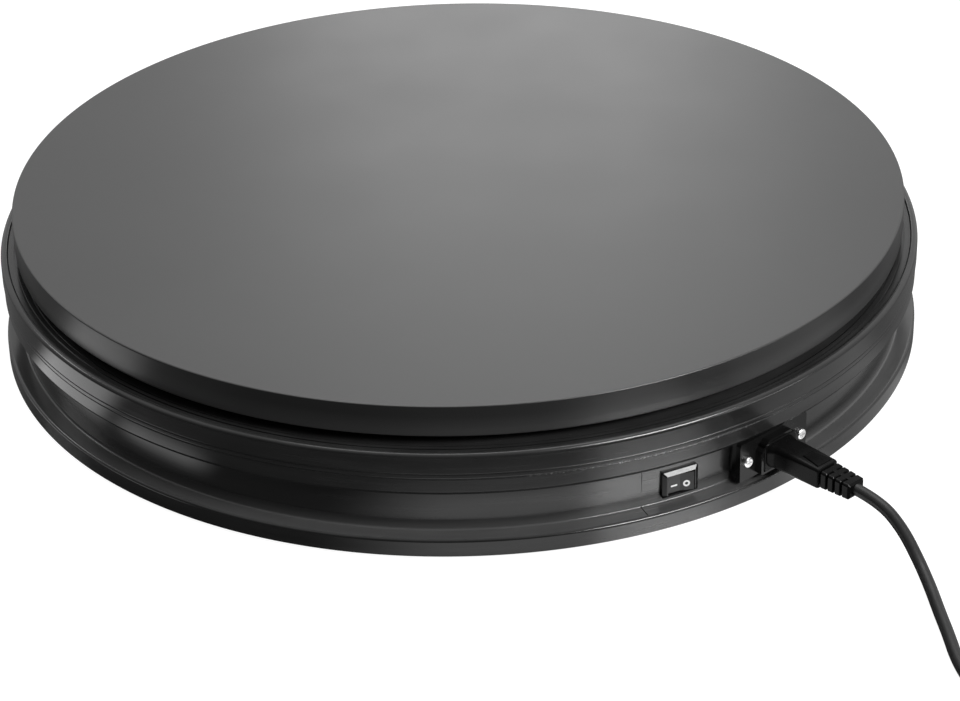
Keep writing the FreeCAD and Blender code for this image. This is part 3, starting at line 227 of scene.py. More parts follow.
# Stage and lights
FLOOR_HALF = 12.0
FLOOR_ROUGHNESS = 0.12
FLOOR_GLOW = 0.96
FLOOR_SHADOWED = 0.2
FLOOR_ALBEDO = 0.10
ROOM_BRIGHT_SIDE = (0.15, 0.75, 0.64)
ROOM_DIM = 0.02
ROOM_BRIGHT = 0.75
# Light pools: bearing, half width and fade in degrees, inner and outer radius and fade, and brightness
POOLS = [
    (33, 10, 8, 0.25, 0.285, 0.03, 1.1),
    (10, 10, 20, 0.25, 0.285, 0.04, 0.75),
    (27, 3, 6, 0.31, 0.34, 0.02, 0.6),
    (10, 12, 14, 0.28, 0.32, 0.03, 0.35),
    (58, 8, 12, 0.26, 0.40, 0.05, 0.4),
    (-67, 6, 6, 0.29, 0.37, 0.02, 1.5),
    (-46, 4, 7, 0.285, 0.308, 0.012, 1.3),
]
# Soft lights: name, azimuth from +Y towards +X, elevation, distance, width and height, and brightness
SOFTBOXES = [
    ("back_strip", 2.0, 20.5, 3.0, (0.72, 0.95), 2.25),
    ("overhead", 10, 72, 2.4, (1.6, 1.6), 3.2),
    ("right_window", 137, 31, 2.2, (0.9, 0.5), 8.0),
    ("right_lamp", 134, 33, 2.0, (0.9, 0.25), 36.0),
    ("low_window", 112, 5, 2.4, (1.1, 0.25), 4.5),
    ("left_window", -66, 33, 2.2, (0.6, 0.3), 4.0),
]


def make_camera():
    """The camera at the photograph's place, direction and angle of view."""
    data = bpy.data.cameras.new("camera")
    data.lens = CAMERA_LENS
    data.clip_start = 0.05
    data.clip_end = 60.0
    camera = bpy.data.objects.new("camera", data)
    camera.location = CAMERA_PLACE
    camera.rotation_euler = CAMERA_TURN
    bpy.context.scene.collection.objects.link(camera)
    bpy.context.scene.camera = camera


def coil_points():
    """Turns of the put-away coil: three winding inwards on the floor, then three outwards on them."""
    inner = COIL_OUTER_TURN - COIL_TURNS * CORD_DIAMETER
    wide = 1 / math.cos(math.pi / COIL_POINTS)
    total = 2 * COIL_TURNS + COIL_CLIMB
    count = round(total * COIL_POINTS)
    points = []
    for i in range(count + 1):
        turns = i / COIL_POINTS
        climbed = min(1.0, max(0.0, (turns - COIL_TURNS) / COIL_CLIMB))
        outwards = max(0.0, turns - COIL_TURNS - COIL_CLIMB)
        radius = max(inner, COIL_OUTER_TURN - turns * CORD_DIAMETER) + outwards * CORD_DIAMETER
        angle = 2 * math.pi * turns - math.pi / 2
        height = CORD_DIAMETER * (0.5 + climbed)
        around = Vector((math.cos(angle), math.sin(angle), 0)) * radius * wide
        points.append(tuple(COIL_CENTRE + around + UP * height))
    return points


def make_cord():
    """The lead's cord: one smooth line from the connector through the coil to the plug."""
    points = [CORD_EXIT] + CORD_ROUTE + coil_points() + TAIL_ROUTE
    data = bpy.data.curves.new("power_cord", "CURVE")
    data.dimensions = "3D"
    data.bevel_depth = CORD_DIAMETER / 2
    data.bevel_resolution = 6
    data.use_fill_caps = True
    line = data.splines.new("NURBS")
    line.points.add(len(points) - 1)
    for place, point in zip(line.points, points):
        place.co = (*point, 1.0)
    line.order_u = 3
    line.use_endpoint_u = True
    line.resolution_u = 8
    cord = bpy.data.objects.new("power_cord", data)
    bpy.context.scene.collection.objects.link(cord)
    return cord


make_camera()
cord = make_cord()


# Places on the housing's wall

def wall_frame(radius, bearing, normal_bearing, height):
    """A matrix for pieces built with X to the right, Y up and Z outwards on the wall."""
    at = math.radians(bearing)
    turn = math.radians(normal_bearing)
    origin = Vector((radius * math.sin(at), -radius * math.cos(at), height))
    right = Vector((math.cos(turn), math.sin(turn), 0))
    out = Vector((math.sin(turn), -math.cos(turn), 0))
    matrix = Matrix((right, UP, out)).transposed().to_4x4()
    matrix.translation = origin
    return matrix


SWITCH_FRAME = wall_frame(SWITCH_SEAT_RADIUS, SWITCH_BEARING, SWITCH_BEARING, SWITCH_HEIGHT)
INLET_FRAME = wall_frame(INLET_RADIUS, INLET_BEARING, INLET_NORMAL_BEARING, INLET_HEIGHT)


# Mesh helpers

def add_object(name, mesh, body, material):
    """Links a finished mesh as a piece that rides on a body."""
    piece = bpy.data.objects.new(name, mesh)
    bpy.context.scene.collection.objects.link(piece)
    piece.data.materials.append(material)
    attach(piece, body)
    return piece


def finish_mesh(name, shape, matrix=Matrix.Identity(4), smooth_angle=40.0):
    """Turns a bmesh into a mesh with outward faces, smooth where its faces meet gently."""
    bmesh.ops.recalc_face_normals(shape, faces=shape.faces)
    sharp = math.radians(smooth_angle)
    for face in shape.faces:
        face.smooth = True
    for edge in shape.edges:
        if len(edge.link_faces) != 2 or edge.calc_face_angle(0.0) > sharp:
            edge.smooth = False
    shape.transform(matrix)
    if matrix.determinant() < 0:
        bmesh.ops.reverse_faces(shape, faces=shape.faces)
    mesh = bpy.data.meshes.new(name)
    shape.to_mesh(mesh)
    shape.free()
    return mesh


def rounded_ring(width, height, corner, z, steps=8):
    """Points round a rectangle with rounded corners, at a distance out."""
    points = []
    for quarter, (side, rise) in enumerate(((1, 1), (-1, 1), (-1, -1), (1, -1))):
        for i in range(steps + 1):
            angle = math.pi / 2 * (quarter + i / max(steps, 1))
            x = side * (width / 2 - corner) + corner * math.cos(angle)
            y = rise * (height / 2 - corner) + corner * math.sin(angle)
            points.append(Vector((x, y, z)))
    return points


def circle(radius, count):
    """Evenly spaced points round the Z axis."""
    angles = [2 * math.pi * i / count for i in range(count)]
    return [Vector((radius * math.cos(angle), radius * math.sin(angle), 0)) for angle in angles]


def loft(shape, rings, cap_start=True, cap_end=True, closed=False):
    """Skins a list of rings that have the same number of points."""
    made = [[shape.verts.new(point) for point in ring] for ring in rings]
    for near, far in zip(made, made[1:] + made[:1] if closed else made[1:]):
        for i in range(len(near)):
            following = (i + 1) % len(near)
            shape.faces.new((near[i], near[following], far[following], far[i]))
    if cap_start:
        shape.faces.new(list(reversed(made[0])))
    if cap_end:
        shape.faces.new(made[-1])
    return made


def rounded_outline(corners):
    """Points along a closed outline with rounded corners. Each long run is held flat near its ends."""
    hold = 0.15
    places = [Vector(corner[:2]) for corner in corners]
    stretches = []
    for i, (here, corner) in enumerate(zip(places, corners)):
        if len(corner) < 3:
            stretches.append([here])
            continue
        back = (places[i - 1] - here).normalized()
        ahead = (places[(i + 1) % len(places)] - here).normalized()
        half = back.angle(ahead) / 2
        reach = corner[2] / math.tan(half)
        middle = here + (back + ahead).normalized() * corner[2] / math.sin(half)
        start = here + back * reach - middle
        sweep = start.angle_signed(here + ahead * reach - middle)
        steps = max(4, round(abs(sweep) / math.radians(11)))
        arc = []
        for step in range(steps + 1):
            turn = Matrix.Rotation(-sweep * step / steps, 2)
            arc.append(middle + turn @ start)
        stretches.append(arc)
    points = []
    for arc, following in zip(stretches, stretches[1:] + stretches[:1]):
        points += arc
        run = following[0] - arc[-1]
        if run.length > 4 * hold:
            points.append(arc[-1] + run.normalized() * hold)
            points.append(following[0] - run.normalized() * hold)
    return points


def turned(outline):
    """A closed outline turned round the stand's axis."""
    shape = bmesh.new()
    rings = []
    for radius, height in rounded_outline(outline):
        rings.append([(point + UP * height) * MM for point in circle(radius, AROUND)])
    loft(shape, rings, False, False, True)
    bmesh.ops.remove_doubles(shape, verts=shape.verts, dist=1e-7)
    bmesh.ops.recalc_face_normals(shape, faces=shape.faces)
    return shape


def combine(shape, other, operation):
    """Cuts one closed shape out of another, or joins it on."""
    pieces = []
    for part_shape in (shape, other):
        mesh = bpy.data.meshes.new("part")
        part_shape.to_mesh(mesh)
        part_shape.free()
        piece = bpy.data.objects.new("part", mesh)
        bpy.context.scene.collection.objects.link(piece)
        pieces.append(piece)
    boolean = pieces[0].modifiers.new("combine", "BOOLEAN")
    boolean.operation = operation
    boolean.object = pieces[1]
    boolean.solver = "EXACT"
    solved = pieces[0].evaluated_get(bpy.context.evaluated_depsgraph_get())
    result = bmesh.new()
    result.from_mesh(solved.to_mesh())
    for piece in pieces:
        bpy.data.objects.remove(piece)
    return result


def add_prism(shape, matrix, width, height, start, end):
    """Adds a rectangular prism along Z of the given matrix, in millimetres."""
    ring = rounded_ring(width, height, 0.0, 0.0, 0)
    rings = [[matrix @ (Vector((p.x, p.y, z)) * MM) for p in ring] for z in (start, end)]
    loft(shape, rings)
    return shape


def add_countersinks(shape, distance, count, first, seat, rise):
    """Adds the seats of countersunk screws round the axis. Rise is 1 or -1, the way that they go in."""
    sink = SCREW_HEAD - SCREW_SHANK
    profile = [(SCREW_HEAD, SCREW_HOLE_START), (SCREW_HEAD, 0.0)]
    profile += [(SCREW_SHANK, sink), (SCREW_SHANK, SCREW_HOLE_END)]
    around = 24
    for i in range(count):
        turn = math.radians(first + 360.0 * i / count)
        middle = Vector((math.cos(turn), math.sin(turn), 0)) * distance + UP * seat
        rings = []
        for radius, depth in profile:
            level = middle + UP * (rise * depth)
            rings.append([(level + point) * MM for point in circle(radius + SCREW_CLEARANCE, around)])
        loft(shape, rings)
    bmesh.ops.recalc_face_normals(shape, faces=shape.faces)


# Materials

def math_node(tree, operation, *values):
    """One arithmetic step on numbers or outputs."""
    node = tree.nodes.new("ShaderNodeMath")
    node.operation = operation
    for socket, value in zip(node.inputs, values):
        if isinstance(value, (int, float)):
            socket.default_value = value
        else:
            tree.links.new(value, socket)
    return node.outputs["Value"]


class Look:
    """A material's node tree around one Principled shader."""

    def __init__(self, name, color, roughness, metallic=0.0):
        self.material = bpy.data.materials.new(name)
        self.material.use_nodes = True
        self.tree = self.material.node_tree
        self.shader = self.tree.nodes["Principled BSDF"]
        self.shader.inputs["Base Color"].default_value = (*color, 1.0)
        self.shader.inputs["Roughness"].default_value = roughness
        self.shader.inputs["Metallic"].default_value = metallic
        coordinates = self.tree.nodes.new("ShaderNodeTexCoord")
        self.place = coordinates.outputs["Object"]
        self.normal = coordinates.outputs["Normal"]
        split = self.tree.nodes.new("ShaderNodeSeparateXYZ")
        self.tree.links.new(self.place, split.inputs["Vector"])
        self.rise = split.outputs["Z"]
        self.height = None

    def set(self, socket, value):
        """Sets a value that is the same all over the surface."""
        self.shader.inputs[socket].default_value = value

    def stretched(self, scale):
        """Object coordinates, stretched."""
        mapping = self.tree.nodes.new("ShaderNodeMapping")
        mapping.inputs["Scale"].default_value = scale
        self.tree.links.new(self.place, mapping.inputs["Vector"])
        return mapping.outputs["Vector"]

    def around(self, fine):
        """Coordinates whose grain runs round the Z axis: radius and height are fine, the turn is long."""
        split = self.tree.nodes.new("ShaderNodeSeparateXYZ")
        self.tree.links.new(self.place, split.inputs["Vector"])
        flat = self.tree.nodes.new("ShaderNodeCombineXYZ")
        self.tree.links.new(split.outputs["X"], flat.inputs["X"])
        self.tree.links.new(split.outputs["Y"], flat.inputs["Y"])
        length = self.tree.nodes.new("ShaderNodeVectorMath")
        length.operation = "LENGTH"
        self.tree.links.new(flat.outputs["Vector"], length.inputs[0])
        turn = self.tree.nodes.new("ShaderNodeVectorMath")
        turn.operation = "NORMALIZE"
        self.tree.links.new(flat.outputs["Vector"], turn.inputs[0])
        rise = self.math("ADD", split.outputs["Z"], length.outputs["Value"])
        rise = self.math("MULTIPLY", rise, fine)
        split_turn = self.tree.nodes.new("ShaderNodeSeparateXYZ")
        self.tree.links.new(turn.outputs["Vector"], split_turn.inputs["Vector"])
        joined = self.tree.nodes.new("ShaderNodeCombineXYZ")
        self.tree.links.new(split_turn.outputs["X"], joined.inputs["X"])
        self.tree.links.new(split_turn.outputs["Y"], joined.inputs["Y"])
        self.tree.links.new(rise, joined.inputs["Z"])
        return joined.outputs["Vector"]

    def facing_up(self, low, high):
        """1 where the surface faces up and 0 where it doesn't."""
        split = self.tree.nodes.new("ShaderNodeSeparateXYZ")
        self.tree.links.new(self.normal, split.inputs["Vector"])
        return self.ramp(split.outputs["Z"], low, high, 0.0, 1.0)

    def noise(self, scale, detail=3.0, roughness=0.5, vector=None):
        """Noise over the surface, from about 0 to 1."""
        node = self.tree.nodes.new("ShaderNodeTexNoise")
        node.inputs["Scale"].default_value = scale
        node.inputs["Detail"].default_value = detail
        node.inputs["Roughness"].default_value = roughness
        self.tree.links.new(vector or self.place, node.inputs["Vector"])
        return node.outputs["Fac"]

    def specks(self, scale, size):
        """Small separate dots, 1 in their middle and 0 elsewhere."""
        node = self.tree.nodes.new("ShaderNodeTexVoronoi")
        node.inputs["Scale"].default_value = scale
        self.tree.links.new(self.place, node.inputs["Vector"])
        return self.ramp(node.outputs["Distance"], 0.0, size, 1.0, 0.0)

    def painted_foot_highlight(self):
        """A painted highlight low on the waist, just above the ledge."""
        above = self.ramp(self.rise, LEDGE_HEIGHT - 0.3 * MM, LEDGE_HEIGHT, 0.0, 1.0)
        below = self.ramp(self.rise, LEDGE_HEIGHT + 1.0 * MM, LEDGE_HEIGHT + 7.0 * MM, 1.0, 0.0)
        return self.math("MULTIPLY", self.math("MULTIPLY", above, below), 0.16)

    def seam_crumbs(self):
        """Pale crumbs of glue along the seam, on its front right stretch."""
        above = self.math("SUBTRACT", self.rise, SEAM_HEIGHT)
        near = self.ramp(self.math("ABSOLUTE", above, 0.0), 0.4 * MM, 0.9 * MM, 1.0, 0.0)
        flat = self.tree.nodes.new("ShaderNodeVectorMath")
        flat.operation = "MULTIPLY"
        flat.inputs[1].default_value = (1, 1, 0)
        self.tree.links.new(self.place, flat.inputs[0])
        facing = self.tree.nodes.new("ShaderNodeVectorMath")
        facing.operation = "NORMALIZE"
        self.tree.links.new(flat.outputs["Vector"], facing.inputs[0])
        along = self.tree.nodes.new("ShaderNodeVectorMath")
        along.operation = "DOT_PRODUCT"
        middle = math.radians(CRUMBS_BEARING)
        along.inputs[1].default_value = (math.sin(middle), -math.cos(middle), 0)
        self.tree.links.new(facing.outputs["Vector"], along.inputs[0])
        ends = [math.cos(math.radians(CRUMBS_HALF + fade)) for fade in (8, -2)]
        stretch = self.ramp(along.outputs["Value"], *ends, 0.0, 1.0)
        crumbs = self.ramp(self.noise(750.0, 4.0, 0.75), 0.52, 0.72, 0.0, 0.6)
        return self.math("MULTIPLY", self.math("MULTIPLY", crumbs, near), stretch)

    def math(self, operation, first, second):
        """One arithmetic step on two values, each a number or an output."""
        return math_node(self.tree, operation, first, second)

    def ramp(self, value, low, high, at_low, at_high):
        """A value mapped from one range to another, and held at its ends."""
        node = self.tree.nodes.new("ShaderNodeMapRange")
        node.inputs["From Min"].default_value = low
        node.inputs["From Max"].default_value = high
        node.inputs["To Min"].default_value = at_low
        node.inputs["To Max"].default_value = at_high
        self.tree.links.new(value, node.inputs["Value"])
        return node.outputs["Result"]

    def color(self, factor, low, high):
        """The base colour, mixed between two colours."""
        node = self.tree.nodes.new("ShaderNodeMix")
        node.data_type = "RGBA"
        node.inputs[6].default_value = (*low, 1.0)
        node.inputs[7].default_value = (*high, 1.0)
        self.tree.links.new(factor, node.inputs[0])
        self.tree.links.new(node.outputs[2], self.shader.inputs["Base Color"])
        return node.outputs[2]

    def roughness(self, value):
        """The roughness, varied over the surface."""
        self.tree.links.new(value, self.shader.inputs["Roughness"])

    def bump(self, value, depth, strength=1.0):
        """Fine relief. Each call adds to the relief before it."""
        node = self.tree.nodes.new("ShaderNodeBump")
        node.inputs["Strength"].default_value = strength
        node.inputs["Distance"].default_value = depth
        self.tree.links.new(value, node.inputs["Height"])
        if self.height is not None:
            self.tree.links.new(self.height, node.inputs["Normal"])
        self.tree.links.new(node.outputs["Normal"], self.shader.inputs["Normal"])
        self.height = node.outputs["Normal"]


def gray(value):
    """A neutral colour."""
    return (value, value, value)


def platter_look():
    """Matt black paint, slightly mottled, with a top painted paler as painted light and flecked with fine
    dust, and a painted reflection that makes its edge paler low down.
    """
    look = Look("platter_paint", gray(0.1), 0.5)
    cloud = look.noise(9.0, 4.0, 0.6)
    dust = look.math("MULTIPLY", look.specks(260.0, 0.05), 0.5)
    mixed = look.math("ADD", look.ramp(cloud, 0.3, 0.7, 0.0, 0.5), dust)
    # Painted light: the top is painted paler than the side, flecked with fine dust specks
    top = look.facing_up(0.3, 0.8)
    top = look.math("MULTIPLY", top, look.ramp(mixed, 0.0, 1.0, 0.78, 1.0))
    # Painted reflection: the edge is painted paler towards its bottom
    painted_low_reflection = look.ramp(look.rise, 68.0 * MM, 79.0 * MM, 0.85, 0.0)
    look.color(look.math("ADD", top, painted_low_reflection), gray(0.010), gray(0.034))
    look.roughness(look.ramp(look.noise(14.0, 3.0), 0.3, 0.7, 0.29, 0.33))
    look.bump(look.noise(900.0, 2.0), 0.02 * MM, 0.5)
    return look.material


def gloss_look():
    """Glossy black moulded plastic with turned streaks, haze and dust specks, painted paler where it
    faces up, partly settled dust and partly painted light, and with a painted highlight low on the waist.
    """
    look = Look("gloss_plastic", gray(0.012), 0.16)
    streaks = look.noise(6.0, 3.0, 0.6, look.around(260.0))
    haze = look.noise(11.0, 3.0)
    smears = look.noise(3.0, 4.0, 0.65, look.around(60.0))
    # Where it faces up the plastic is painted paler: partly settled dust, partly painted light
    level = look.facing_up(0.6, 0.98)
    settled_dust_and_painted_light = look.math("MULTIPLY", level, look.ramp(look.noise(40.0, 4.0), 0.3, 0.7, 0.45, 1.0))
    streaked = look.ramp(streaks, 0.35, 0.7, 0.0, 0.08)
    look.roughness(look.math("ADD", streaked, look.ramp(haze, 0.3, 0.7, 0.11, 0.2)))
    dust = look.math("MULTIPLY", look.specks(420.0, 0.035), look.ramp(haze, 0.4, 0.6, 0.0, 1.0))
    film_and_painted_light = look.ramp(smears, 0.45, 0.75, 0.0, 0.035)
    film_and_painted_light = look.math("ADD", look.math("MULTIPLY", settled_dust_and_painted_light, 0.055), film_and_painted_light)
    # Painted highlight low on the waist, just above the ledge
    film_and_painted_light = look.math("ADD", film_and_painted_light, look.painted_foot_highlight())
    film_and_painted_light = look.math("ADD", film_and_painted_light, look.math("MULTIPLY", dust, 0.2))
    look.color(look.math("ADD", film_and_painted_light, look.seam_crumbs()), gray(0.011), gray(0.3))
    look.bump(look.noise(22.0, 2.0), 0.4 * MM, 0.12)
    look.bump(streaks, 0.01 * MM, 0.25)
    return look.material


def plastic_look(name, color, roughness, grain=700.0, grain_depth=0.02 * MM, specular=0.5,
                 specks=0.0):
    """Moulded plastic or rubber with a fine grain, slightly uneven gloss and, on some, specks of dust."""
    look = Look(name, color, roughness)
    look.set("Specular IOR Level", specular)
    cloud = look.noise(60.0, 3.0)
    shade = look.ramp(cloud, 0.3, 0.7, 0.0, 1.0)
    if specks:
        patches = look.ramp(look.noise(140.0), 0.5, 0.6, 0.0, specks)
        dust = look.math("MULTIPLY", look.specks(380.0, 0.09), patches)
        shade = look.math("ADD", look.math("MULTIPLY", shade, 0.002), dust)
        look.color(shade, color, gray(0.25))
    else:
        look.color(shade, [c * 0.85 for c in color], [c * 1.2 for c in color])
    look.roughness(look.ramp(look.noise(120.0), 0.3, 0.7, roughness * 0.85, roughness * 1.2))
    look.bump(look.noise(grain, 2.0), grain_depth, 0.5)
    return look.material


def metal_look(name, color, roughness, scratch=1.0):
    """Plated or ground metal with fine scratches and uneven brightness."""
    look = Look(name, color, roughness, 1.0)
    cloud = look.noise(90.0, 3.0)
    look.color(look.ramp(cloud, 0.3, 0.7, 0.0, 1.0), [c * 0.85 for c in color], color)
    scratches = look.noise(300.0, 3.0, 0.6, look.stretched((1.0, 1.0, 8.0)))
    look.roughness(look.ramp(scratches, 0.3, 0.7, roughness * 0.7, roughness * 1.4))
    look.bump(scratches, 0.01 * MM, 0.3 * scratch)
    return look.material


def wood_look():
    """Bare fibreboard."""
    look = Look("fibreboard", (0.42, 0.30, 0.19), 0.8)
    fibres = look.noise(500.0, 4.0, 0.7)
    look.color(look.ramp(fibres, 0.3, 0.7, 0.0, 1.0), (0.30, 0.20, 0.12), (0.50, 0.37, 0.24))
    look.bump(fibres, 0.08 * MM, 0.6)
    return look.material


def earth_look():
    """Green insulation with a yellow stripe."""
    look = Look("earth_wire", (0.1, 0.35, 0.06), 0.4)
    wave = look.noise(220.0, 1.0)
    look.color(look.ramp(wave, 0.5, 0.52, 0.0, 1.0), (0.05, 0.30, 0.05), (0.75, 0.62, 0.05))
    look.bump(look.noise(800.0), 0.02 * MM, 0.3)
    return look.material


LOOKS = {
    "platter_black": platter_look(),
    "gloss_black": gloss_look(),
    "machined_steel": metal_look("machined_steel", gray(0.55), 0.25),
    "track_steel": metal_look("track_steel", gray(0.6), 0.35),
    "zinc_screws": metal_look("zinc_screws", (0.62, 0.62, 0.58), 0.3),
    "nickel_screws": metal_look("nickel_screws", gray(0.97), 0.3),
    "nickel_pins": metal_look("nickel_pins", (0.75, 0.74, 0.70), 0.2),
    "gear_nylon": plastic_look("gear_acetal", (0.75, 0.73, 0.66), 0.4),
    "spring_steel": metal_look("spring_steel", gray(0.12), 0.35),
    "bearing_steel": metal_look("bearing_steel", gray(0.7), 0.12, 0.3),
    "cage_brass": metal_look("cage_brass", (0.60, 0.45, 0.20), 0.3),
    "cast_housing": metal_look("cast_alloy", gray(0.55), 0.5),
    "motor_zinc": metal_look("motor_zinc", gray(0.5), 0.35),
    "bracket_steel": metal_look("bracket_steel", gray(0.55), 0.35),
    "pinion_brass": metal_look("pinion_brass", (0.65, 0.48, 0.20), 0.25),
    "contact_brass": metal_look("contact_brass", (0.70, 0.60, 0.40), 0.3),
    "switch_plastic": plastic_look("switch_plastic", gray(0.004), 0.1, specular=0.2),
    "rocker_plastic": plastic_look("rocker_plastic", gray(0.012), 0.3, 1500.0, 0.07 * MM, 0.28),
    "inlet_plastic": plastic_look("inlet_plastic", gray(0.006), 0.22, specular=0.24, specks=0.3),
    "lead_pvc": plastic_look("lead_pvc", gray(0.003), 0.26, specular=0.09, specks=0.3),
    "cord_pvc": plastic_look("cord_pvc", gray(0.010), 0.4, specular=0.35),
    "fibreboard": wood_look(),
    "foot_rubber": plastic_look("foot_rubber", gray(0.02), 0.7),
    "post_nylon": plastic_look("post_nylon", (0.70, 0.70, 0.68), 0.45),
    "roller_nylon": plastic_look("roller_nylon", (0.70, 0.70, 0.68), 0.4),
    "roller_rubber": plastic_look("roller_rubber", gray(0.06), 0.7),
    "wire_brown": plastic_look("wire_brown", (0.16, 0.06, 0.03), 0.4),
    "wire_blue": plastic_look("wire_blue", (0.03, 0.10, 0.40), 0.4),
    "wire_green": earth_look(),
    "print_white": plastic_look("print_white", gray(0.8), 0.5),
    "tie_fabric": plastic_look("tie_fabric", gray(0.02), 0.8, 1500.0, 0.1 * MM),
}


def round_collar():
    """Rounds the edges of the inlet's collar."""
    edges = nodes["inlet_body"].modifiers.new("edges", "BEVEL")
    edges.width = COLLAR_ROUNDING
    edges.segments = 4
    edges.limit_method = "ANGLE"
    edges.angle_limit = math.radians(35)


def paint_nodes():
    """Gives every CAD node the material of its slot."""
    for part in frame["record"]["subparts"]:
        for material_slot in nodes[part["node"]].material_slots:
            material_slot.material = LOOKS[part["material_slot"]]


round_collar()
paint_nodes()


# Connector of the lead

def add_sections(shape, sections):
    """Skins a row of rounded rectangles: width, height, corner and distance out in millimetres."""
    loft(shape, [rounded_ring(w * MM, h * MM, c * MM, z * MM) for w, h, c, z in sections])


def relief_size(out):
    """Width and height of the strain relief at a distance out."""
    share = (out - RELIEF_START) / (RELIEF_END - RELIEF_START)
    return [a + (b - a) * share for a, b in zip(RELIEF_START_SIZE, RELIEF_END_SIZE)]


def make_connector():
    """The moulded connector: nose, shoulder, grip, and a strain relief of ribs on a narrow core."""
    shape = bmesh.new()
    add_sections(shape, NOSE_SECTIONS)
    add_sections(shape, GRIP_SECTIONS)
    add_sections(shape, CORE_SECTIONS)
    spine = []
    for out, gap in ((RELIEF_START + RIB_GAP, SPINE_GAP), (RELIEF_END - LAST_RIB_EDGE, 0.0)):
        height = relief_size(out)[1] - SPINE_SINK
        spine.append((SPINE_WIDTH, height, SPINE_CORNER, out + gap))
    add_sections(shape, spine)
    for i in range(RIB_COUNT):
        start = RELIEF_START + i * RIB_PITCH + RIB_GAP
        end = RELIEF_START + (i + 1) * RIB_PITCH
        front = RIB_EDGE
        if i == RIB_COUNT - 1:
            end = RELIEF_END
            front = LAST_RIB_EDGE
        sections = []
        for out, inset in ((start, RIB_EDGE), (start + RIB_EDGE, 0.0), (end - front, 0.0), (end, front)):
            width, height = relief_size(out)
            sections.append((width - 2 * inset, height - 2 * inset, RIB_CORNER - inset, out))
        add_sections(shape, sections)
    mesh = finish_mesh("connector", shape, INLET_FRAME, 30.0)
    return add_object("connector", mesh, "base", LOOKS["lead_pvc"])


def make_connector_panel():
    """The raised thumb panel on the connector's top, wider towards the cord."""
    corners = [(-1, PANEL_NEAR_HALF, PANEL_NEAR, 1), (1, PANEL_NEAR_HALF, PANEL_NEAR, 1),
               (1, PANEL_FAR_HALF, PANEL_FAR, -1), (-1, PANEL_FAR_HALF, PANEL_FAR, -1)]
    shape = bmesh.new()
    rings = []
    for inset, rise in PANEL_PROFILE:
        ring = []
        for side, half, reach, inwards in corners:
            out = reach + inwards * inset
            top = GRIP_TOP - GRIP_TOP_SLOPE * (out - GRIP_TOP_START)
            ring.append(Vector((side * (half - inset), top + rise, out)) * MM)
        rings.append(ring)
    loft(shape, rings)
    mesh = finish_mesh("connector_panel", shape, INLET_FRAME, 30.0)
    return add_object("connector_panel", mesh, "base", LOOKS["lead_pvc"])


# Wall plug

def plug_ring(radius, along):
    """A ring round the plug's axis, in millimetres."""
    return [Vector((point.x, along, point.y)) * MM for point in circle(radius, PLUG_AROUND)]


def make_plug():
    """The wall plug on its side: sleeve, ribbed neck, finger grip and round face."""
    shape = bmesh.new()
    loft(shape, [plug_ring(radius, along) for radius, along in PLUG_OUTLINE])
    for i in range(PLUG_RIB_COUNT):
        along = PLUG_RIB_FIRST + PLUG_RIB_PITCH * i
        radius = PLUG_NECK_RADIUS + PLUG_NECK_SLOPE * along
        loft(shape, [plug_ring(radius + out, along + shift) for out, shift in PLUG_RIB_PROFILE])
    mesh = finish_mesh("wall_plug", shape, Matrix.Translation(PLUG_START), 30.0)
    return add_object("wall_plug", mesh, "base", LOOKS["lead_pvc"])


def make_tie():
    """The hook and loop strap round the coil's bundle of turns."""
    middle = COIL_OUTER_TURN - COIL_TURNS * CORD_DIAMETER / 2
    bundle = (COIL_TURNS + 1) * CORD_DIAMETER
    rise = 2 * CORD_DIAMETER
    shape = bmesh.new()
    rings = []
    for across in (-TIE_WIDTH / 2, TIE_WIDTH / 2):
        ring = [Vector((p.x, across, p.y)) for p in rounded_ring(bundle, rise, TIE_CORNER, 0.0)]
        rings.append(ring)
    loft(shape, rings, False, False)
    place = Matrix.Translation(COIL_CENTRE + Vector((-middle, 0, rise / 2)))
    mesh = finish_mesh("cord_tie", shape, place, 60.0)
    tie = add_object("cord_tie", mesh, "base", LOOKS["tie_fabric"])
    solid = tie.modifiers.new("thickness", "SOLIDIFY")
    solid.thickness = TIE_THICKNESS
    solid.offset = -1.0
    return tie


# Plate and housing

def make_plate():
    """The round plate with its finely rounded edges."""
    mesh = finish_mesh("turntable_plate", turned(PLATE_OUTLINE))
    return add_object("turntable_plate", mesh, "platter", LOOKS["platter_black"])


def make_lower_shell():
    """The moulded tray with its flange, waist and band, and the openings for the switch and the inlet."""
    pad = add_prism(bmesh.new(), INLET_FRAME @ Matrix.Translation((0, -INLET_PAD_DROP, 0)), *INLET_PAD)
    shape = combine(turned(LOWER_OUTLINE), pad, "UNION")
    holes = bmesh.new()
    add_prism(holes, INLET_FRAME, *INLET_HOLE)
    add_prism(holes, SWITCH_FRAME, *SWITCH_HOLE)
    on_waist = wall_frame(WAIST_JOINT_RADIUS, JOINT_BEARING, JOINT_BEARING, JOINT_HEIGHT)
    add_prism(holes, on_waist, *WAIST_JOINT)
    on_ledge = wall_frame(LEDGE_JOINT_RADIUS, JOINT_BEARING, JOINT_BEARING, LEDGE_HEIGHT)
    add_prism(holes, on_ledge, *LEDGE_JOINT)
    add_countersinks(holes, *BASE_SCREWS)
    shape = combine(shape, holes, "DIFFERENCE")
    mesh = finish_mesh("lower_shell", shape)
    return add_object("lower_shell", mesh, "base", LOOKS["gloss_black"])


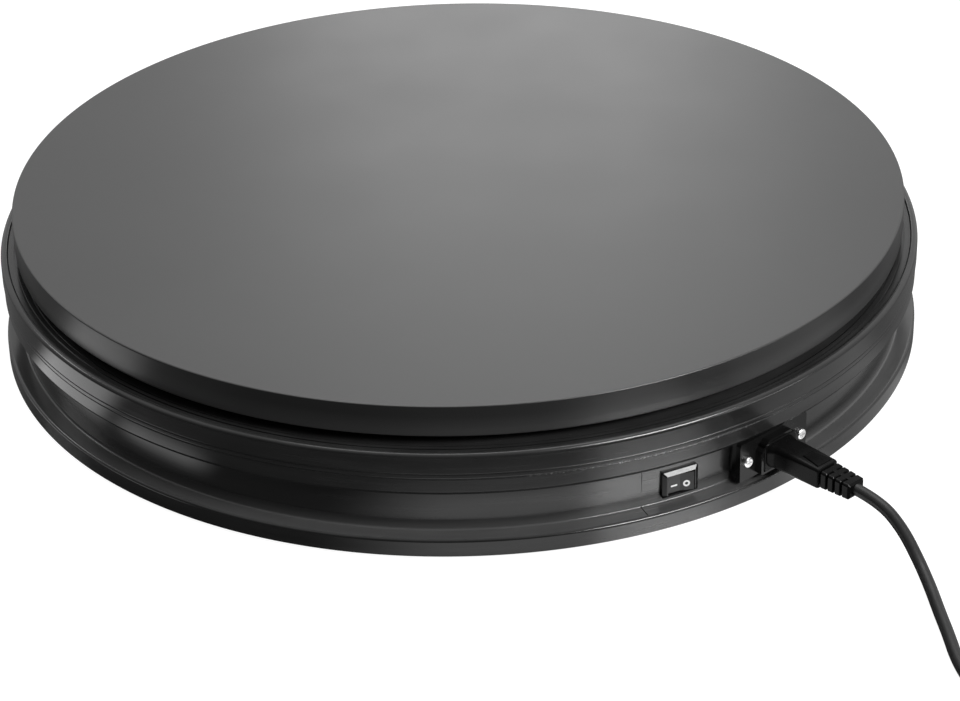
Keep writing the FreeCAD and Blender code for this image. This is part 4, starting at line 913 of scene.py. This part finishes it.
def make_cover_shell():
    """The skirt, rounded rim, land, grooves and deck, with a slot over each roller."""
    slots = bmesh.new()
    for i in range(ROLLER_COUNT):
        turn = Matrix.Rotation(2 * math.pi * i / ROLLER_COUNT, 4, "Z")
        place = turn @ Matrix.Translation((ROLLER_CIRCLE, 0, 0))
        add_prism(slots, place, *ROLLER_SLOT)
    add_countersinks(slots, *COVER_SCREWS)
    shape = combine(turned(COVER_OUTLINE), slots, "DIFFERENCE")
    mesh = finish_mesh("cover_shell", shape)
    return add_object("cover_shell", mesh, "base", LOOKS["gloss_black"])


def make_trim():
    """The thin moulding where the two shells meet."""
    mesh = finish_mesh("seam_moulding", turned(TRIM_OUTLINE))
    return add_object("seam_moulding", mesh, "base", LOOKS["gloss_black"])


# Marks on the rocker

def rocker_face(side):
    """The middle of one face of the rocker at rest and its direction, in the switch's frame."""
    rise = MARK_REACH * math.tan(ROCKER_TILT)
    point = Vector((side * MARK_REACH, 0, ROCKER_VALLEY + rise))
    normal = Vector((-side * math.sin(ROCKER_TILT), 0, math.cos(ROCKER_TILT)))
    pivot = Vector((0, 0, ROCKER_PIVOT))
    turn = Matrix.Rotation(-ROCKER_TILT, 3, "Y")
    return pivot + turn @ (point - pivot), turn @ normal


def on_rocker(side):
    """The matrix of a mark that lies on one face of the rocker."""
    place, normal = rocker_face(side)
    up = Vector((0, 1, 0))
    matrix = Matrix((up.cross(normal), up, normal)).transposed().to_4x4()
    matrix.translation = place - up * MARK_DROP
    return SWITCH_FRAME @ matrix


def make_marks():
    """The printed on and off marks: a dash on the left face and a ring on the right."""
    dash = bmesh.new()
    loft(dash, [rounded_ring(*DASH_SIZE, z) for z in (-PRINT_HEIGHT, PRINT_HEIGHT)])
    mesh = finish_mesh("on_mark", dash, on_rocker(-1))
    add_object("on_mark", mesh, "rocker", LOOKS["print_white"])
    ring = bmesh.new()
    loops = []
    for radius, side in ((RING_INNER, -1), (RING_INNER, 1), (RING_OUTER, 1), (RING_OUTER, -1)):
        loops.append([point + UP * (side * PRINT_HEIGHT) for point in circle(radius, 40)])
    loft(ring, loops + [loops[0]], False, False)
    bmesh.ops.remove_doubles(ring, verts=ring.verts, dist=1e-7)
    mesh = finish_mesh("off_mark", ring, on_rocker(1))
    add_object("off_mark", mesh, "rocker", LOOKS["print_white"])


connector = make_connector()
panel = make_connector_panel()
wall_plug = make_plug()
tie = make_tie()
make_marks()
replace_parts(make_plate(), "top_plate")
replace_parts(make_lower_shell(), "lower_housing")
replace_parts(make_cover_shell(), "upper_cover")
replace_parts(make_trim(), "seam_trim")

cord.data.materials.append(LOOKS["cord_pvc"])
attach(cord, "base")
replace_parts(cord, "mains_cord", "cord_coil", "cord_tail")
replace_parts(connector, "cord_connector")
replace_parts(wall_plug, "plug_body")


# Stage and lights

def fade_node(tree, value, at_zero, at_one):
    """A smooth step from 0 to 1 between two values."""
    node = tree.nodes.new("ShaderNodeMapRange")
    node.interpolation_type = "SMOOTHSTEP"
    node.inputs["From Min"].default_value = at_zero
    node.inputs["From Max"].default_value = at_one
    tree.links.new(value, node.inputs["Value"])
    return node.outputs["Result"]


def light_pools(tree):
    """Brightness of the light pools on the table, which only show as reflections in the stand."""
    place = tree.nodes.new("ShaderNodeNewGeometry")
    split = tree.nodes.new("ShaderNodeSeparateXYZ")
    tree.links.new(place.outputs["Position"], split.inputs["Vector"])
    x, y = split.outputs["X"], split.outputs["Y"]
    forward = math_node(tree, "MULTIPLY", y, -1.0)
    bearing = math_node(tree, "ARCTAN2", x, forward)
    x_square = math_node(tree, "MULTIPLY", x, x)
    y_square = math_node(tree, "MULTIPLY", y, y)
    radius = math_node(tree, "SQRT", math_node(tree, "ADD", x_square, y_square))
    total = None
    for middle, half, side_fade, inner, outer, fade, brightness in POOLS:
        offset = math_node(tree, "SUBTRACT", bearing, math.radians(middle))
        aside = math_node(tree, "ABSOLUTE", offset)
        pool = fade_node(tree, aside, math.radians(half + side_fade), math.radians(half))
        pool = math_node(tree, "MULTIPLY", pool, fade_node(tree, radius, inner - fade, inner))
        pool = math_node(tree, "MULTIPLY", pool, fade_node(tree, radius, outer + fade, outer))
        pool = math_node(tree, "MULTIPLY", pool, brightness)
        total = pool if total is None else math_node(tree, "ADD", total, pool)
    return total


def make_floor():
    """A floor that is white to the camera. The stand sees it as a dim glossy table with light pools."""
    mesh = bpy.data.meshes.new("floor")
    corners = [(x * FLOOR_HALF, y * FLOOR_HALF, 0) for x, y in ((-1, -1), (1, -1), (1, 1), (-1, 1))]
    mesh.from_pydata(corners, [], [(0, 1, 2, 3)])
    floor = bpy.data.objects.new("floor", mesh)
    bpy.context.scene.collection.objects.link(floor)
    material = bpy.data.materials.new("floor_table")
    material.use_nodes = True
    tree = material.node_tree
    path = tree.nodes.new("ShaderNodeLightPath")
    table = tree.nodes["Principled BSDF"]
    table.inputs["Base Color"].default_value = (*gray(FLOOR_ALBEDO), 1.0)
    table.inputs["Roughness"].default_value = FLOOR_ROUGHNESS
    table.inputs["Emission Color"].default_value = (1, 1, 1, 1)
    pools = math_node(tree, "MULTIPLY", light_pools(tree), path.outputs["Is Glossy Ray"])
    tree.links.new(pools, table.inputs["Emission Strength"])
    shown = tree.nodes.new("ShaderNodeBsdfDiffuse")
    shown.inputs["Color"].default_value = (*gray(FLOOR_SHADOWED), 1.0)
    glow = tree.nodes.new("ShaderNodeEmission")
    glow.inputs["Strength"].default_value = FLOOR_GLOW
    both = tree.nodes.new("ShaderNodeAddShader")
    tree.links.new(shown.outputs["BSDF"], both.inputs[0])
    tree.links.new(glow.outputs["Emission"], both.inputs[1])
    mix = tree.nodes.new("ShaderNodeMixShader")
    tree.links.new(path.outputs["Is Camera Ray"], mix.inputs["Fac"])
    tree.links.new(table.outputs["BSDF"], mix.inputs[1])
    tree.links.new(both.outputs["Shader"], mix.inputs[2])
    tree.links.new(mix.outputs["Shader"], tree.nodes["Material Output"].inputs["Surface"])
    floor.data.materials.append(material)


def make_world():
    """A white studio to the camera. The stand sees a room that is dim in front and brighter behind."""
    world = bpy.data.worlds.new("studio")
    bpy.context.scene.world = world
    world.use_nodes = True
    tree = world.node_tree
    seen = tree.nodes.new("ShaderNodeBackground")
    seen.inputs["Strength"].default_value = 1.0
    seen.inputs["Color"].default_value = (1, 1, 1, 1)
    place = tree.nodes.new("ShaderNodeTexCoord")
    facing = tree.nodes.new("ShaderNodeVectorMath")
    facing.operation = "DOT_PRODUCT"
    facing.inputs[1].default_value = ROOM_BRIGHT_SIDE
    tree.links.new(place.outputs["Generated"], facing.inputs[0])
    level = tree.nodes.new("ShaderNodeMapRange")
    level.interpolation_type = "SMOOTHSTEP"
    level.inputs["From Min"].default_value = -0.6
    level.inputs["From Max"].default_value = 0.9
    level.inputs["To Min"].default_value = ROOM_DIM
    level.inputs["To Max"].default_value = ROOM_BRIGHT
    tree.links.new(facing.outputs["Value"], level.inputs["Value"])
    room = tree.nodes["Background"]
    room.inputs["Color"].default_value = (1, 1, 1, 1)
    tree.links.new(level.outputs["Result"], room.inputs["Strength"])
    path = tree.nodes.new("ShaderNodeLightPath")
    mix = tree.nodes.new("ShaderNodeMixShader")
    tree.links.new(path.outputs["Is Camera Ray"], mix.inputs["Fac"])
    tree.links.new(room.outputs["Background"], mix.inputs[1])
    tree.links.new(seen.outputs["Background"], mix.inputs[2])
    tree.links.new(mix.outputs["Shader"], tree.nodes["World Output"].inputs["Surface"])


def add_softbox(name, azimuth, elevation, distance, size, radiance):
    """A soft light of a given brightness, aimed at the stand. The camera itself doesn't see it."""
    data = bpy.data.lights.new(name, "AREA")
    data.shape = "RECTANGLE"
    data.size = size[0]
    data.size_y = size[1]
    data.energy = radiance * math.pi * size[0] * size[1]
    light = bpy.data.objects.new(name, data)
    turn = math.radians(azimuth)
    rise = math.radians(elevation)
    level = math.cos(rise)
    direction = Vector((level * math.sin(turn), level * math.cos(turn), math.sin(rise)))
    light.location = direction * distance
    light.rotation_euler = direction.to_track_quat("Z", "Y").to_euler()
    light.visible_camera = False
    bpy.context.scene.collection.objects.link(light)


make_floor()
make_world()
for softbox in SOFTBOXES:
    add_softbox(*softbox)
bpy.context.scene.view_settings.view_transform = "Standard"
